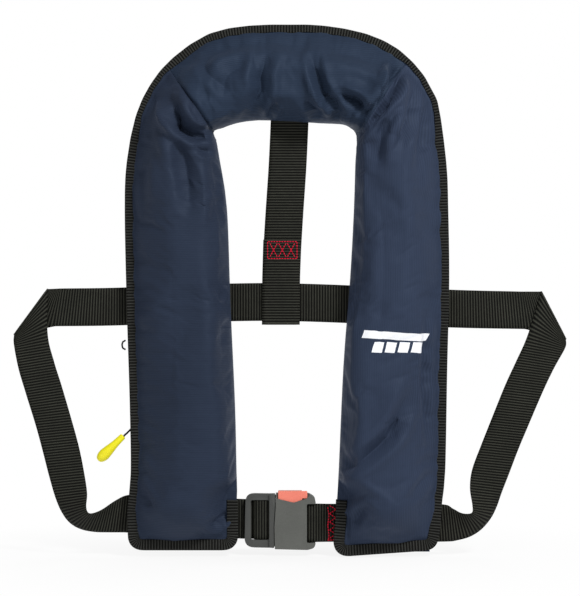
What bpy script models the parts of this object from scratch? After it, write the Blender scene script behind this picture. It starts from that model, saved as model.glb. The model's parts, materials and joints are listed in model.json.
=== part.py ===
"""Inflatable life jacket: folded horseshoe cover, gas inflator, oral tube, waist belt and buckle.

World units are metres, +Z is up, the front faces -Y and +X is the wearer's left side.
Sizes below are millimetres.  A place on the jacket is written (x, z, depth); depth counts from the
rear face of the back panel, positive toward the rear and negative toward the front.
"""
import math

import bmesh
import bpy
from mathutils import Vector

for leftover in list(bpy.data.objects):
    bpy.data.objects.remove(leftover, do_unlink=True)

MM = 0.001
PANEL_Y = 17.45                     # world y of the back panel's rear face
GAP = 0.3                           # working clearance between neighbours
WEBBING_WIDTH = 38.0
WEBBING = 2.0                       # webbing thickness
DEPTH_AXIS = Vector((0.0, 0.0, 1.0))


# ---------------------------------------------------------------- building blocks

def to_world(place):
    """World position of a place on the jacket."""
    x, z, depth = place
    return Vector((x, PANEL_Y + depth, z)) * MM


def linear(value):
    """Linear value of one 0-255 sRGB channel."""
    value /= 255.0
    if value <= 0.04045:
        return value / 12.92
    return ((value + 0.055) / 1.055) ** 2.4


def material(name, look):
    """Principled material named after its piece: look is (r, g, b, roughness, metallic)."""
    made = bpy.data.materials.new(name)
    made.use_nodes = True
    shader = made.node_tree.nodes["Principled BSDF"]
    shader.inputs["Base Color"].default_value = [linear(channel) for channel in look[:3]] + [1.0]
    shader.inputs["Roughness"].default_value = look[3]
    shader.inputs["Metallic"].default_value = look[4]
    made.diffuse_color = shader.inputs["Base Color"].default_value
    return made


def add_body(name, skin, look, pivot=None, soft_angle=35.0):
    """Add one closed body; its origin is the pivot place, or the world origin."""
    places, faces = skin
    origin = to_world(pivot) if pivot else Vector((0.0, 0.0, 0.0))
    mesh = bpy.data.meshes.new(name)
    mesh.from_pydata([to_world(place) - origin for place in places], [], faces)
    work = bmesh.new()
    work.from_mesh(mesh)
    bmesh.ops.recalc_face_normals(work, faces=work.faces)
    work.to_mesh(mesh)
    work.free()
    mesh.materials.append(material(name, look))
    mesh.shade_smooth()
    mesh.set_sharp_from_angle(angle=math.radians(soft_angle))
    body = bpy.data.objects.new(name, mesh)
    body.location = origin
    bpy.context.scene.collection.objects.link(body)
    return body


def combine(body, skins, operation, solver="EXACT"):
    """Cut skins out of a body (DIFFERENCE) or weld them to it (UNION)."""
    for skin in skins:
        tool = add_body("tool", skin, (128, 128, 128, 0.5, 0.0))
        step = body.modifiers.new("shape", "BOOLEAN")
        step.operation = operation
        step.solver = solver
        step.object = tool
        result = bpy.data.meshes.new_from_object(body.evaluated_get(bpy.context.evaluated_depsgraph_get()))
        body.modifiers.remove(step)
        look = body.data.materials[0]
        body.data = result
        body.data.materials.clear()
        body.data.materials.append(look)
        for face in body.data.polygons:
            face.material_index = 0
        tool_look = tool.data.materials[0]
        bpy.data.objects.remove(tool, do_unlink=True)
        bpy.data.materials.remove(tool_look)
    body.data.name = body.name
    body.data.shade_smooth()
    body.data.set_sharp_from_angle(angle=math.radians(35.0))


def loft(rings):
    """Skin over equal rings of places, closed by a cap at each end."""
    size = len(rings[0])
    places = [place for ring in rings for place in ring]
    faces = []
    for low in range(0, len(places) - size, size):
        for step in range(size):
            after = (step + 1) % size
            faces.append((low + step, low + after, low + size + after, low + size + step))
    faces.append(tuple(range(size)))
    faces.append(tuple(range(len(places) - size, len(places))))
    return places, faces


def plate(outline, front, rear):
    """Flat plate with an (x, z) outline between two depths."""
    return loft([[(x, z, depth) for x, z in outline] for depth in (front, rear)])


def block(x_range, z_range, depth_range):
    """Rectangular block."""
    (x0, x1), (z0, z1) = x_range, z_range
    return plate([(x0, z0), (x1, z0), (x1, z1), (x0, z1)], *depth_range)


def rounded(x_range, z_range, radius, steps=5):
    """(x, z) outline of a rectangle with rounded corners."""
    (x0, x1), (z0, z1) = x_range, z_range
    outline = []
    corners = ((x1 - radius, z1 - radius), (x0 + radius, z1 - radius),
               (x0 + radius, z0 + radius), (x1 - radius, z0 + radius))
    for quarter, (x, z) in enumerate(corners):
        for step in range(steps + 1):
            angle = math.pi / 2 * (quarter + step / steps)
            outline.append((x + radius * math.cos(angle), z + radius * math.sin(angle)))
    return outline


def spin(profile, base, axis, segments=20, ring=False):
    """Body turned about an axis; profile points are (radius, height[, radius along depth]).

    A ring profile joins its last point back to its first."""
    base = Vector(base)
    axis = Vector(axis).normalized()
    across = axis.cross(DEPTH_AXIS)
    if across.length < 0.5:
        across = Vector((1.0, 0.0, 0.0))
    across.normalize()
    second = axis.cross(across)
    places, rows, faces = [], [], []
    for radius, height, *flat in profile:
        middle = base + axis * height
        row = []
        for step in range(segments if radius else 1):
            angle = 2 * math.pi * step / segments
            reach = second * math.sin(angle) * (flat[0] if flat else radius)
            row.append(len(places))
            places.append(middle + across * radius * math.cos(angle) + reach)
        rows.append(row)
    following = rows[1:] + rows[:1] if ring else rows[1:]
    for low, high in zip(rows, following):
        for step in range(segments):
            after = (step + 1) % segments
            corners = (low[step % len(low)], low[after % len(low)],
                       high[after % len(high)], high[step % len(high)])
            face = tuple(dict.fromkeys(corners))
            if len(face) > 2:
                faces.append(face)
    return places, faces


def disc_stack(base, axis, *steps, segments=20):
    """Turned solid from (radius, height) steps, closed at both ends on the axis."""
    return spin([(0.0, steps[0][1]), *steps, (0.0, steps[-1][1])], base, axis, segments)


def curve(points, counts):
    """Catmull-Rom curve through points with a set number of samples on each span."""
    points = [Vector(point) for point in points]
    padded = [2 * points[0] - points[1], *points, 2 * points[-1] - points[-2]]
    line = []
    for a, b, c, d, count in zip(padded, padded[1:], padded[2:], padded[3:], counts):
        for step in range(count):
            t = step / count
            line.append(0.5 * (2 * b + (c - a) * t + (2 * a - 5 * b + 4 * c - d) * t ** 2
                               + (3 * b - a - 3 * c + d) * t ** 3))
    line.append(points[-1])
    return line


def smooth_line(points, spacing):
    """Catmull-Rom curve through points, sampled about every `spacing`."""
    lengths = [(Vector(b) - Vector(a)).length for a, b in zip(points, points[1:])]
    return curve(points, [max(1, round(length / spacing)) for length in lengths])


def cord(path, radius, sides=10):
    """Round cord along a path of places."""
    path = [Vector(place) for place in path]
    rings = []
    side = None
    for index, place in enumerate(path):
        heading = (path[min(index + 1, len(path) - 1)] - path[max(index - 1, 0)]).normalized()
        if side is None:
            side = heading.orthogonal()
        side = (side - heading * side.dot(heading)).normalized()
        other = heading.cross(side)
        turns = [2 * math.pi * step / sides for step in range(sides)]
        rings.append([place + radius * (side * math.cos(turn) + other * math.sin(turn)) for turn in turns])
    return loft(rings)


def ribbon(edges, thickness=WEBBING):
    """Webbing between two edges given as pairs of places."""
    pairs = [(Vector(one), Vector(two)) for one, two in edges]
    middles = [(one + two) / 2 for one, two in pairs]
    rings = []
    for index, (one, two) in enumerate(pairs):
        heading = middles[min(index + 1, len(pairs) - 1)] - middles[max(index - 1, 0)]
        lift = heading.cross(two - one).normalized() * thickness / 2
        rings.append([one + lift, two + lift, two - lift, one - lift])
    return loft(rings)


def level_ribbon(centres, width=WEBBING_WIDTH, thickness=WEBBING):
    """Webbing whose edges run above and below a path of places."""
    half = Vector((0.0, width / 2, 0.0))
    return ribbon([(Vector(place) - half, Vector(place) + half) for place in centres], thickness)


# ---------------------------------------------------------------- horseshoe outline

CORNER = 13.0                       # radius of the bottom corners
CORNER_STEPS = 4
STATION_SPACING = 19.0
RIGHT_SPLIT = ((-163.0, 394.0), (-70.0, 394.0))
LEFT_SPLIT = ((156.0, 394.0), (65.5, 394.0))
# outer and inner edge, from the right lobe's bottom, over the collar, to the left lobe's bottom
CROSSINGS = (
    ((-162.0, 24.0), (-52.0, 24.0)),
    ((-162.5, 46.0), (-52.5, 52.0)),
    ((-159.0, 82.0), (-53.5, 84.0)),
    ((-160.0, 154.0), (-55.0, 150.0)),
    ((-163.0, 250.0), (-59.5, 250.0)),
    ((-165.0, 346.0), (-63.0, 346.0)),
    RIGHT_SPLIT,
    ((-154.0, 440.0), (-74.0, 416.0)),
    ((-139.0, 472.0), (-77.0, 425.0)),
    ((-117.0, 498.0), (-68.0, 428.0)),
    ((-81.0, 522.0), (-54.0, 433.0)),
    ((-41.0, 530.0), (-32.0, 436.0)),
    ((0.0, 531.0), (0.0, 435.0)),
    ((34.0, 530.0), (30.0, 433.0)),
    ((76.0, 522.0), (52.0, 432.0)),
    ((109.0, 506.0), (60.0, 429.0)),
    ((134.0, 480.0), (66.5, 422.0)),
    ((147.0, 456.0), (67.0, 411.0)),
    LEFT_SPLIT,
    ((158.0, 346.0), (64.0, 346.0)),
    ((159.0, 274.0), (60.0, 274.0)),
    ((157.0, 190.0), (53.5, 190.0)),
    ((155.0, 86.0), (49.0, 90.0)),
    ((152.0, 56.0), (47.0, 54.0)),
    ((149.5, 24.0), (44.0, 20.0)),
)
RIGHT_BOTTOM = ((-149.0, 19.0), (-65.0, 19.0))      # centres of the bottom corners, outer and inner
LEFT_BOTTOM = ((135.5, 18.5), (56.5, 13.0))


def bottom_corner(centre, side):
    """Quarter turn from the bottom edge up to one side (side is -1 or +1 along x)."""
    turns = [math.pi / 2 * (1 - step / CORNER_STEPS) for step in range(CORNER_STEPS + 1)]
    return [Vector((centre[0] + side * CORNER * math.cos(turn), centre[1] - CORNER * math.sin(turn)))
            for turn in turns]


def edge_lines():
    """Matching outer and inner edge lines, and the stations of the two shoulder splits."""
    counts = [max(1, round((Vector(b[0]) - Vector(a[0])).length / STATION_SPACING))
              for a, b in zip(CROSSINGS, CROSSINGS[1:])]
    outer = (bottom_corner(RIGHT_BOTTOM[0], -1) + curve([pair[0] for pair in CROSSINGS], counts)
             + bottom_corner(LEFT_BOTTOM[0], 1)[::-1])
    inner = (bottom_corner(RIGHT_BOTTOM[1], 1) + curve([pair[1] for pair in CROSSINGS], counts)
             + bottom_corner(LEFT_BOTTOM[1], -1)[::-1])
    right_split, left_split = (CORNER_STEPS + 1 + sum(counts[:CROSSINGS.index(split)])
                               for split in (RIGHT_SPLIT, LEFT_SPLIT))
    return outer, inner, right_split, left_split


def inboard(line):
    """Unit normals pointing to the right of the line's heading."""
    normals = []
    for index in range(len(line)):
        heading = line[min(index + 1, len(line) - 1)] - line[max(index - 1, 0)]
        normals.append(Vector((heading.y, -heading.x)).normalized())
    return normals


OUTER, INNER, SPLIT_RIGHT, SPLIT_LEFT = edge_lines()
LAST = len(OUTER) - 1
HEM = CORNER_STEPS + 2              # stations of inner edge that carry binding at each lobe's bottom

# the bound edge runs down the right lobe's inner hem, round the outside and up the left lobe's hem
BOUND_EDGE = INNER[HEM:0:-1] + [INNER[0]] + OUTER + [INNER[LAST]] + INNER[LAST - 1:LAST - HEM - 1:-1]
BOUND_NORMALS = inboard(BOUND_EDGE)
FIRST_OUTER = HEM + 1               # place of OUTER[0] in the bound edge


def inset(amount):
    """Outer and inner edge lines moved inboard along the bound edge."""
    moved = [place + normal * amount for place, normal in zip(BOUND_EDGE, BOUND_NORMALS)]
    outer = moved[FIRST_OUTER:FIRST_OUTER + len(OUTER)]
    inner = list(INNER)
    inner[:HEM + 1] = moved[HEM::-1]
    inner[LAST - HEM:] = moved[:FIRST_OUTER + len(OUTER) - 1:-1]
    return outer, inner


# ---------------------------------------------------------------- fabric layers

EDGE_INSET = 0.9                    # panels stop this far inside their binding
PANEL_FRONT = -1.5
BINDING_WIDTH = 10.4
BINDING_CLOTH = 0.5
BACK_BINDING = (-2.4, 0.8)          # front and rear faces
FRONT_BINDING = (-8.0, -5.0)
COVER_CLOTH = 1.2
BAND_DEPTH = 7.1                    # how far the front face of the cover's edge band is forward
SEAM_DEPTH = 3.1                    # the same at the inner seam
BAND_WIDTH = 20.0
LOBE_CREST = 40.0
COLLAR_CREST = 32.0

NAVY = (50, 58, 75)
BLACK_TAPE = (41, 41, 38)
BELT_BLACK = (37, 38, 32)
YELLOW = (250, 222, 30)


def rise(distance, reach):
    """Rounded climb from 0 at the edge to 1 at the given reach."""
    return math.sin(math.pi / 2 * min(max(distance / reach, 0.0), 1.0))


def crest(station):
    """Height of the folded bladder under the cover."""
    shoulder = 6
    into_collar = min(station - SPLIT_RIGHT, SPLIT_LEFT - station) / shoulder
    return LOBE_CREST + (COLLAR_CREST - LOBE_CREST) * min(max(into_collar, 0.0), 1.0)


def cover_depth(station, from_outer, from_inner, z):
    """How far forward the outside of the front cover stands at a place on one station."""
    bottom = RIGHT_BOTTOM[0][1] - CORNER if station < LAST / 2 else 3.0
    hem = 1.0 - min(max((z - 62.0) / 22.0, 0.0), 1.0)
    inner_depth = BAND_DEPTH * hem + SEAM_DEPTH * (1.0 - hem)
    slope = min(max(from_inner / BAND_WIDTH, 0.0), 1.0)
    base = inner_depth + (BAND_DEPTH - inner_depth) * slope
    swell = rise(from_outer - BAND_WIDTH, 38.0) * rise(from_inner - 12.0 * hem, 30.0)
    if z < 100.0:
        swell *= rise(z - bottom - 16.0, 45.0)
    return base + crest(station) * swell


ACROSS = (0.0, 0.1, 0.18, 0.26, 0.37, 0.52, 0.68, 0.8, 0.89, 0.95, 1.0)


def cover(first, last, drop=0.0):
    """Front cover between two stations: a shell of even cloth over the folded bladder."""
    outer, inner = inset(EDGE_INSET)
    grid = []
    for station in range(first, last + 1):
        one, two = outer[station], inner[station]
        width = (two - one).length
        row = []
        for part in ACROSS:
            x, z = one.lerp(two, part)
            row.append(Vector((x, z, -cover_depth(station, width * part, width * (1 - part), z))))
        grid.append(row)
    rings = []
    for index, row in enumerate(grid):
        before, after = grid[max(index - 1, 0)], grid[min(index + 1, len(grid) - 1)]
        under = []
        for column, place in enumerate(row):
            along = after[column] - before[column]
            across = row[min(column + 1, len(row) - 1)] - row[max(column - 1, 0)]
            inward = along.cross(across).normalized()
            if inward.z < 0:
                inward = -inward
            under.append(place + inward * COVER_CLOTH)
        rings.append(row + under[::-1])
    return loft(rings)


def channel(line, normals, faces):
    """Binding folded over an edge: a U section that opens inboard."""
    front, rear = faces
    section = ((0.0, front), (BINDING_WIDTH, front), (BINDING_WIDTH, front + BINDING_CLOTH),
               (BINDING_CLOTH, front + BINDING_CLOTH), (BINDING_CLOTH, rear - BINDING_CLOTH),
               (BINDING_WIDTH, rear - BINDING_CLOTH), (BINDING_WIDTH, rear), (0.0, rear))
    return loft([[(*(place + normal * reach), depth) for reach, depth in section]
                 for place, normal in zip(line, normals)])


def edge_strip(first, last, reach, faces):
    """Flat tape that follows the outer edge between two stations."""
    front, rear = faces
    rings = []
    for index in range(FIRST_OUTER + first, FIRST_OUTER + last + 1):
        near = BOUND_EDGE[index] + BOUND_NORMALS[index] * reach[0]
        far = BOUND_EDGE[index] + BOUND_NORMALS[index] * reach[1]
        rings.append([(*near, front), (*far, front), (*far, rear), (*near, rear)])
    return loft(rings)


def station_at(z, first, last):
    """Station whose outer edge is nearest a height."""
    return min(range(first, last + 1), key=lambda station: abs(OUTER[station].y - z))


panel_outer, panel_inner = inset(EDGE_INSET)
add_body("cover_back_panel", plate(panel_outer + panel_inner[::-1], PANEL_FRONT, 0.0), (*NAVY, 0.85, 0.0))
add_body("back_panel_binding", channel(BOUND_EDGE, BOUND_NORMALS, BACK_BINDING), (*BLACK_TAPE, 0.8, 0.0))

RIGHT_HINGE = (-51.8, 200.0, PANEL_FRONT)
LEFT_HINGE = (43.4, 200.0, PANEL_FRONT)


def front_piece(first, last, name, binding_name, pivot, trim):
    """One front cover panel with its own binding; trim shortens it at the shoulder splits."""
    skin = trimmed(cover(first, last), trim)
    add_body(name, skin, (*NAVY, 0.85, 0.0), pivot)
    start = FIRST_OUTER + first if first else 0
    stop = FIRST_OUTER + last + 1 if last < LAST else len(BOUND_EDGE)
    binding = channel(BOUND_EDGE[start:stop], BOUND_NORMALS[start:stop], FRONT_BINDING)
    add_body(binding_name, trimmed(binding, trim), (*BLACK_TAPE, 0.8, 0.0), pivot)


def trimmed(skin, trim):
    """Move the places on the shoulder split line up or down by half a gap."""
    places, faces = skin
    split_z = RIGHT_SPLIT[0][1]
    moved = [Vector((place[0], place[1] + trim, place[2])) if abs(place[1] - split_z) < 0.6
             else Vector(place) for place in places]
    return moved, faces


front_piece(SPLIT_RIGHT, SPLIT_LEFT, "cover_collar_front", "collar_binding", None, 1.0)
front_piece(0, SPLIT_RIGHT, "cover_front_right", "binding_front_right", RIGHT_HINGE, -1.0)
front_piece(SPLIT_LEFT, LAST, "cover_front_left", "binding_front_left", LEFT_HINGE, -1.0)

TAPE_REACH = (12.0, 20.5)
HOOK_TAPE = (-3.4, -1.8)
LOOP_TAPE = (-5.6, -3.7)
TAPE_TOP = 380.0
CORD_LOW, CORD_HIGH = 118.0, 162.0          # the pull cord leaves between these heights
RIGHT_TAPES = {
    "right_upper": (station_at(CORD_HIGH, 5, SPLIT_RIGHT), station_at(TAPE_TOP, 5, SPLIT_RIGHT)),
    "right_lower": (CORNER_STEPS + 1, station_at(CORD_LOW, 5, SPLIT_RIGHT)),
}
LEFT_TAPES = {"left": (station_at(TAPE_TOP, SPLIT_LEFT, LAST - 5), LAST - CORNER_STEPS - 1)}
for side, (low, high) in {**RIGHT_TAPES, **LEFT_TAPES}.items():
    hinge = LEFT_HINGE if side == "left" else RIGHT_HINGE
    add_body("hook_tape_" + side, edge_strip(low, high, TAPE_REACH, HOOK_TAPE), (25, 26, 28, 0.95, 0.0))
    add_body("loop_tape_" + side, edge_strip(low, high, TAPE_REACH, LOOP_TAPE), (30, 31, 34, 0.95, 0.0),
             hinge)

# ---------------------------------------------------------------- bladder

BLADDER_BACK = -2.0
BLADDER_CLEARANCE = 5.5
BLADDER_EDGE = 25.0                 # clear of the tapes
BLADDER_SEAM = 11.0
HARDWARE_EDGE = 66.0                # the bladder leaves the outer half free beside the hardware
RIGHT_HARDWARE = (48.0, 345.0)
LEFT_HARDWARE = (72.0, 318.0)


def bladder_skin(columns=6):
    """Folded bladder: fills the cover except beside the inflator and the oral tube."""
    outer, inner = inset(EDGE_INSET)
    rings = []
    first, last = HEM + 1, LAST - HEM - 1
    for station in range(first, last + 1):
        one, two = outer[station], inner[station]
        width = (two - one).length
        low, high = RIGHT_HARDWARE if station < LAST / 2 else LEFT_HARDWARE
        beside = min(rise(one.y - low, 24.0), rise(high - one.y, 24.0))
        if SPLIT_RIGHT <= station <= SPLIT_LEFT:
            beside = 0.0
        start = BLADDER_EDGE + (HARDWARE_EDGE - BLADDER_EDGE) * beside
        end_taper = rise(min(station - first, last - station) + 0.6, 2.6)
        front = []
        for column in range(columns):
            gap = start + (width - BLADDER_SEAM - start) * column / (columns - 1)
            x, z = one.lerp(two, gap / width)
            swell = cover_depth(station, gap, width - gap, z) - BLADDER_CLEARANCE
            side = rise(min(column, columns - 1 - column) + 0.6, 2.6) * end_taper
            front.append(Vector((x, z, BLADDER_BACK - 1.2 - max(swell + BLADDER_BACK - 1.2, 0.0) * side)))
        rear = [Vector((place.x, place.y, BLADDER_BACK)) for place in front]
        rings.append(front + rear[::-1])
    return loft(rings)


add_body("bladder", bladder_skin(), (*YELLOW, 0.6, 0.0))

# ---------------------------------------------------------------- inflator, in the right lobe

BORE_X, BORE_DEPTH = -110.0, -13.5
UP = (0.0, 1.0, 0.0)
BODY_BOTTOM, BODY_TOP = 138.0, 180.0
CYLINDER_RADIUS = 11.0
CYLINDER_LENGTH = 142.0
NECK_RADIUS = 7.0
LEVER_PIVOT = (-110.0, 142.0, BORE_DEPTH)
LEVER_PIN_RADIUS = 1.2
LEVER_HALF = 2.5
RUNNING_FIT = 0.05


def on_bore(z):
    """Place on the axis of the inflator's bore."""
    return BORE_X, z, BORE_DEPTH


inflator = add_body(
    "inflator_body",
    plate(rounded((BORE_X - 14, BORE_X + 14), (BODY_BOTTOM, BODY_TOP), 4.0), BORE_DEPTH - 11, BORE_DEPTH + 11),
    (35, 36, 38, 0.45, 0.0))
combine(inflator, (
    disc_stack(on_bore(0.0), UP, (NECK_RADIUS + GAP, 166.0), (NECK_RADIUS + GAP, BODY_TOP + 1)),
    disc_stack(on_bore(0.0), UP, (2.4, 152.0), (2.4, 167.0)),
    block((BORE_X - 16.0, BORE_X + 7.7), (BODY_BOTTOM - 2.0, 153.2), (BORE_DEPTH - 3.1, BORE_DEPTH + 3.1)),
    disc_stack((LEVER_PIVOT[0], LEVER_PIVOT[1], 0.0), DEPTH_AXIS,
               (LEVER_PIN_RADIUS + RUNNING_FIT, BORE_DEPTH - 9.0), (LEVER_PIN_RADIUS + RUNNING_FIT, 5.0)),
    block((BORE_X + 2, BORE_X + 12), (157.0, 171.0), (BORE_DEPTH - 12, BORE_DEPTH - 8.5)),
), "DIFFERENCE", solver="MANIFOLD")

add_body("gas_cylinder", disc_stack(
    on_bore(0.0), UP, (4.0, 169.0), (NECK_RADIUS, 169.6), (NECK_RADIUS, 184.0), (8.5, 187.0),
    (CYLINDER_RADIUS, 192.0), (CYLINDER_RADIUS, 169.0 + CYLINDER_LENGTH - 8),
    (8.5, 169.0 + CYLINDER_LENGTH - 2), (5.0, 169.0 + CYLINDER_LENGTH)), (178, 180, 182, 0.32, 1.0),
    on_bore(240.0))
add_body("cylinder_gasket", spin(((2.6, 166.4), (6.6, 166.4), (6.6, 168.6), (2.6, 168.6)),
                                 on_bore(0.0), UP, ring=True), (28, 28, 28, 0.8, 0.0))
add_body("piercing_pin", disc_stack(on_bore(0.0), UP, (1.9, 150.2), (1.9, 155.4), (0.9, 155.6),
                                    (0.9, 162.5), (0.3, 164.4), segments=16),
         (150, 152, 155, 0.3, 1.0), on_bore(155.0))


def coil(centre, axis_height, radius, wire, turns, steps=10, sides=5):
    """Coil spring standing on its centre place."""
    x, z, depth = centre
    path = []
    for step in range(round(turns * steps) + 1):
        turn = 2 * math.pi * step / steps
        path.append((x + radius * math.cos(turn), z + axis_height * step / (turns * steps),
                     depth + radius * math.sin(turn)))
    return cord(path, wire, sides)


add_body("pin_spring", coil(on_bore(156.1), 6.4, 1.65, 0.3, 4), (160, 162, 165, 0.3, 1.0))
add_body("lever_pivot_pin", disc_stack((LEVER_PIVOT[0], LEVER_PIVOT[1], 0.0), DEPTH_AXIS,
                                       (LEVER_PIN_RADIUS, BORE_DEPTH - 8.7),
                                       (LEVER_PIN_RADIUS, BORE_DEPTH + 10.7)), (160, 162, 165, 0.3, 1.0))

# firing lever: a hub on the pivot with an arm out to the pull cord
LEVER_ARM = 17.0
LEVER_TURN = math.radians(156.0)
HUB = 5.0
lever_outline = []
for step in range(9):
    turn = LEVER_TURN - math.pi / 2 - math.pi * step / 8
    lever_outline.append((LEVER_PIVOT[0] + HUB * math.cos(turn), LEVER_PIVOT[1] + HUB * math.sin(turn)))
for step in range(7):
    turn = LEVER_TURN + math.pi / 2 - math.pi * step / 6
    lever_outline.append((LEVER_PIVOT[0] + LEVER_ARM * math.cos(LEVER_TURN) + 3 * math.cos(turn),
                          LEVER_PIVOT[1] + LEVER_ARM * math.sin(LEVER_TURN) + 3 * math.sin(turn)))
lever = add_body("firing_lever", plate(lever_outline, BORE_DEPTH - LEVER_HALF, BORE_DEPTH + LEVER_HALF),
                 (45, 46, 48, 0.4, 0.0), LEVER_PIVOT)
combine(lever, (disc_stack((LEVER_PIVOT[0], LEVER_PIVOT[1], 0.0), DEPTH_AXIS,
                           (LEVER_PIN_RADIUS + RUNNING_FIT, BORE_DEPTH - 5),
                           (LEVER_PIN_RADIUS + RUNNING_FIT, BORE_DEPTH + 5)),), "DIFFERENCE")

add_body("status_indicator", block((BORE_X + 2.4, BORE_X + 11.6), (157.4, 170.6),
                                   (BORE_DEPTH - 11.8, BORE_DEPTH - 8.9)), (40, 170, 80, 0.4, 0.0))
add_body("manifold_nut", disc_stack((BORE_X - 4, 160.0, 0.0), DEPTH_AXIS, (4.0, BORE_DEPTH - 15.8),
                                    (5.5, BORE_DEPTH - 14.6), (5.5, BORE_DEPTH - 11.4), segments=20),
         (30, 30, 32, 0.45, 0.0))
add_body("lifting_loop", level_ribbon(
    [(-134.0, 92.0, -4.0), (-104.0, 92.0, -4.0), (-100.8, 92.0, -5.0), (-99.6, 92.0, -7.0),
     (-100.8, 92.0, -9.0), (-104.0, 92.0, -10.0), (-134.0, 92.0, -10.0)], 25.0), (235, 235, 230, 0.7, 0.0))

# ---------------------------------------------------------------- pull handle and cord

PULL = Vector((-0.715, -0.698, 0.0)).normalized()
HANDLE_TIP = Vector((-166.1, 120.7, -3.7))
CORD_RADIUS = 1.0
add_body("pull_handle", spin(
    ((0.0, 8.0), (1.4, 8.0), (1.4, 0.0), (2.2, 0.0), (3.1, 1.4), (3.5, 5.0, 3.3), (4.7, 12.0, 3.8),
     (6.6, 18.5, 4.7), (8.0, 23.5, 5.4), (8.5, 26.6, 5.6), (8.0, 29.6, 5.3), (6.6, 32.3, 4.4),
     (4.0, 34.4, 2.8), (0.0, 35.2)), HANDLE_TIP, PULL), (*YELLOW, 0.45, 0.0), HANDLE_TIP)
add_body("pull_cord", cord([HANDLE_TIP + PULL * 6.5, HANDLE_TIP - PULL * 30, HANDLE_TIP - PULL * 54],
                           CORD_RADIUS), (24, 25, 26, 0.8, 0.0), HANDLE_TIP)
add_body("edge_cord_loop", cord(smooth_line(
    [(-165.0, 206.0, -3.7), (-167.4, 208.0, -3.7), (-168.0, 211.0, -3.7), (-167.4, 214.0, -3.7),
     (-165.0, 216.0, -3.7)], 1.2), 0.8, 8), (20, 21, 22, 0.8, 0.0))

# ---------------------------------------------------------------- oral tube and whistle, in the left lobe

TUBE = (112.0, 0.0, -14.0)
TUBE_TOP = 212.0
add_body("oral_tube", spin(((4.0, 112.0), (11.5, 112.0), (11.5, 114.0), (7.0, 116.5), (6.0, 121.0),
                            (6.0, TUBE_TOP), (4.0, TUBE_TOP)), TUBE, UP, ring=True), (28, 29, 32, 0.5, 0.0))
add_body("oral_valve", disc_stack(TUBE, UP, (3.6, 186.0), (3.6, 188.0), (1.1, 189.0), (1.1, 204.0),
                                  (3.6, 205.0), (3.6, 209.0), segments=20), (200, 60, 40, 0.5, 0.0))
add_body("oral_tube_cap", spin(((0.0, TUBE_TOP + 0.4), (6.3, TUBE_TOP + 0.4), (6.3, 201.0), (7.6, 201.0),
                                (7.6, 216.5), (6.6, 217.5), (0.0, 217.5)), TUBE, UP),
         (30, 31, 33, 0.45, 0.0), (TUBE[0], 201.0, TUBE[2]))

whistle = add_body("whistle", plate(rounded((102.0, 120.0), (254.0, 298.0), 6.0), -19.0, -9.0),
                   (240, 120, 30, 0.4, 0.0))
combine(whistle, (block((106.0, 116.0), (262.0, 299.0), (-17.2, -10.8)),
                  block((106.6, 115.4), (272.0, 278.0), (-20.0, -14.0))), "DIFFERENCE")
add_body("whistle_cord", cord(smooth_line(
    [(111.0, 252.6, -14.0), (114.5, 245.0, -14.0), (123.5, 236.0, -14.0), (123.5, 180.0, -14.0),
     (122.0, 140.0, -14.0), (119.0, 124.0, -14.0)], 9.0), 0.9, 8), (240, 240, 235, 0.7, 0.0))

# ---------------------------------------------------------------- belt sleeves behind the lobes

SLEEVE_CLOTH = 1.2
SLEEVE_FOOT = (1.1, 2.3)            # stands over the back binding
SLEEVE_TOP = (8.4, 9.6)


def sleeve(x_range, belt_low, belt_high):
    """Fabric tunnel across a lobe, open at both ends: a hat section run along x."""
    foot, lid = SLEEVE_FOOT, SLEEVE_TOP
    section = (
        (belt_low - 9.0, foot[0]), (belt_low - 2.2, foot[0]), (belt_low - 1.0, lid[0]),
        (belt_high + 1.0, lid[0]), (belt_high + 2.2, foot[0]), (belt_high + 9.0, foot[0]),
        (belt_high + 9.0, foot[1]), (belt_high + 3.5, foot[1]), (belt_high + 2.2, lid[1]),
        (belt_low - 2.2, lid[1]), (belt_low - 3.5, foot[1]), (belt_low - 9.0, foot[1]))
    return loft([[(x, z, depth) for z, depth in section] for x in x_range])


add_body("belt_sleeve_right", sleeve((-150.0, -92.0), 17.4, 62.2), (*NAVY, 0.85, 0.0))
add_body("belt_sleeve_left", sleeve((72.0, 140.0), 12.4, 52.4), (*NAVY, 0.85, 0.0))

# ---------------------------------------------------------------- harness: back strap and rear belt

STRAP_HINGE = (0.0, 436.0, 1.5)
BELT_TIP = 278.5                    # how far the folded belt corners reach each side
REAR_BELT_DEPTH = 4.0
LOOP_Z = 234.0                      # centre of the turn under the rear belt
LOOP_RADIUS = 2.5
strap_path = [(-0.4, 435.6, 1.5), (-2.5, 390.0, 2.2), (-5.5, 345.0, 3.2), (-7.5, 312.0, 4.0),
              (-8.2, 296.0, 4.4), (-8.8, 280.0, 6.4), (-9.0, 270.0, 6.5), (-9.2, LOOP_Z, 6.5)]
for step in range(1, 6):
    turn = math.pi * step / 6
    strap_path.append((-9.2, LOOP_Z - LOOP_RADIUS * math.sin(turn),
                       REAR_BELT_DEPTH + LOOP_RADIUS * math.cos(turn)))
strap_path += [(-9.2, LOOP_Z, 1.5), (-9.0, 270.0, 1.5), (-7.8, 316.5, 1.5)]


def sideways_ribbon(centres, width):
    """Webbing whose edges run left and right of a path of places."""
    half = Vector((width / 2, 0.0, 0.0))
    return ribbon([(Vector(place) - half, Vector(place) + half) for place in centres])


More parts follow.
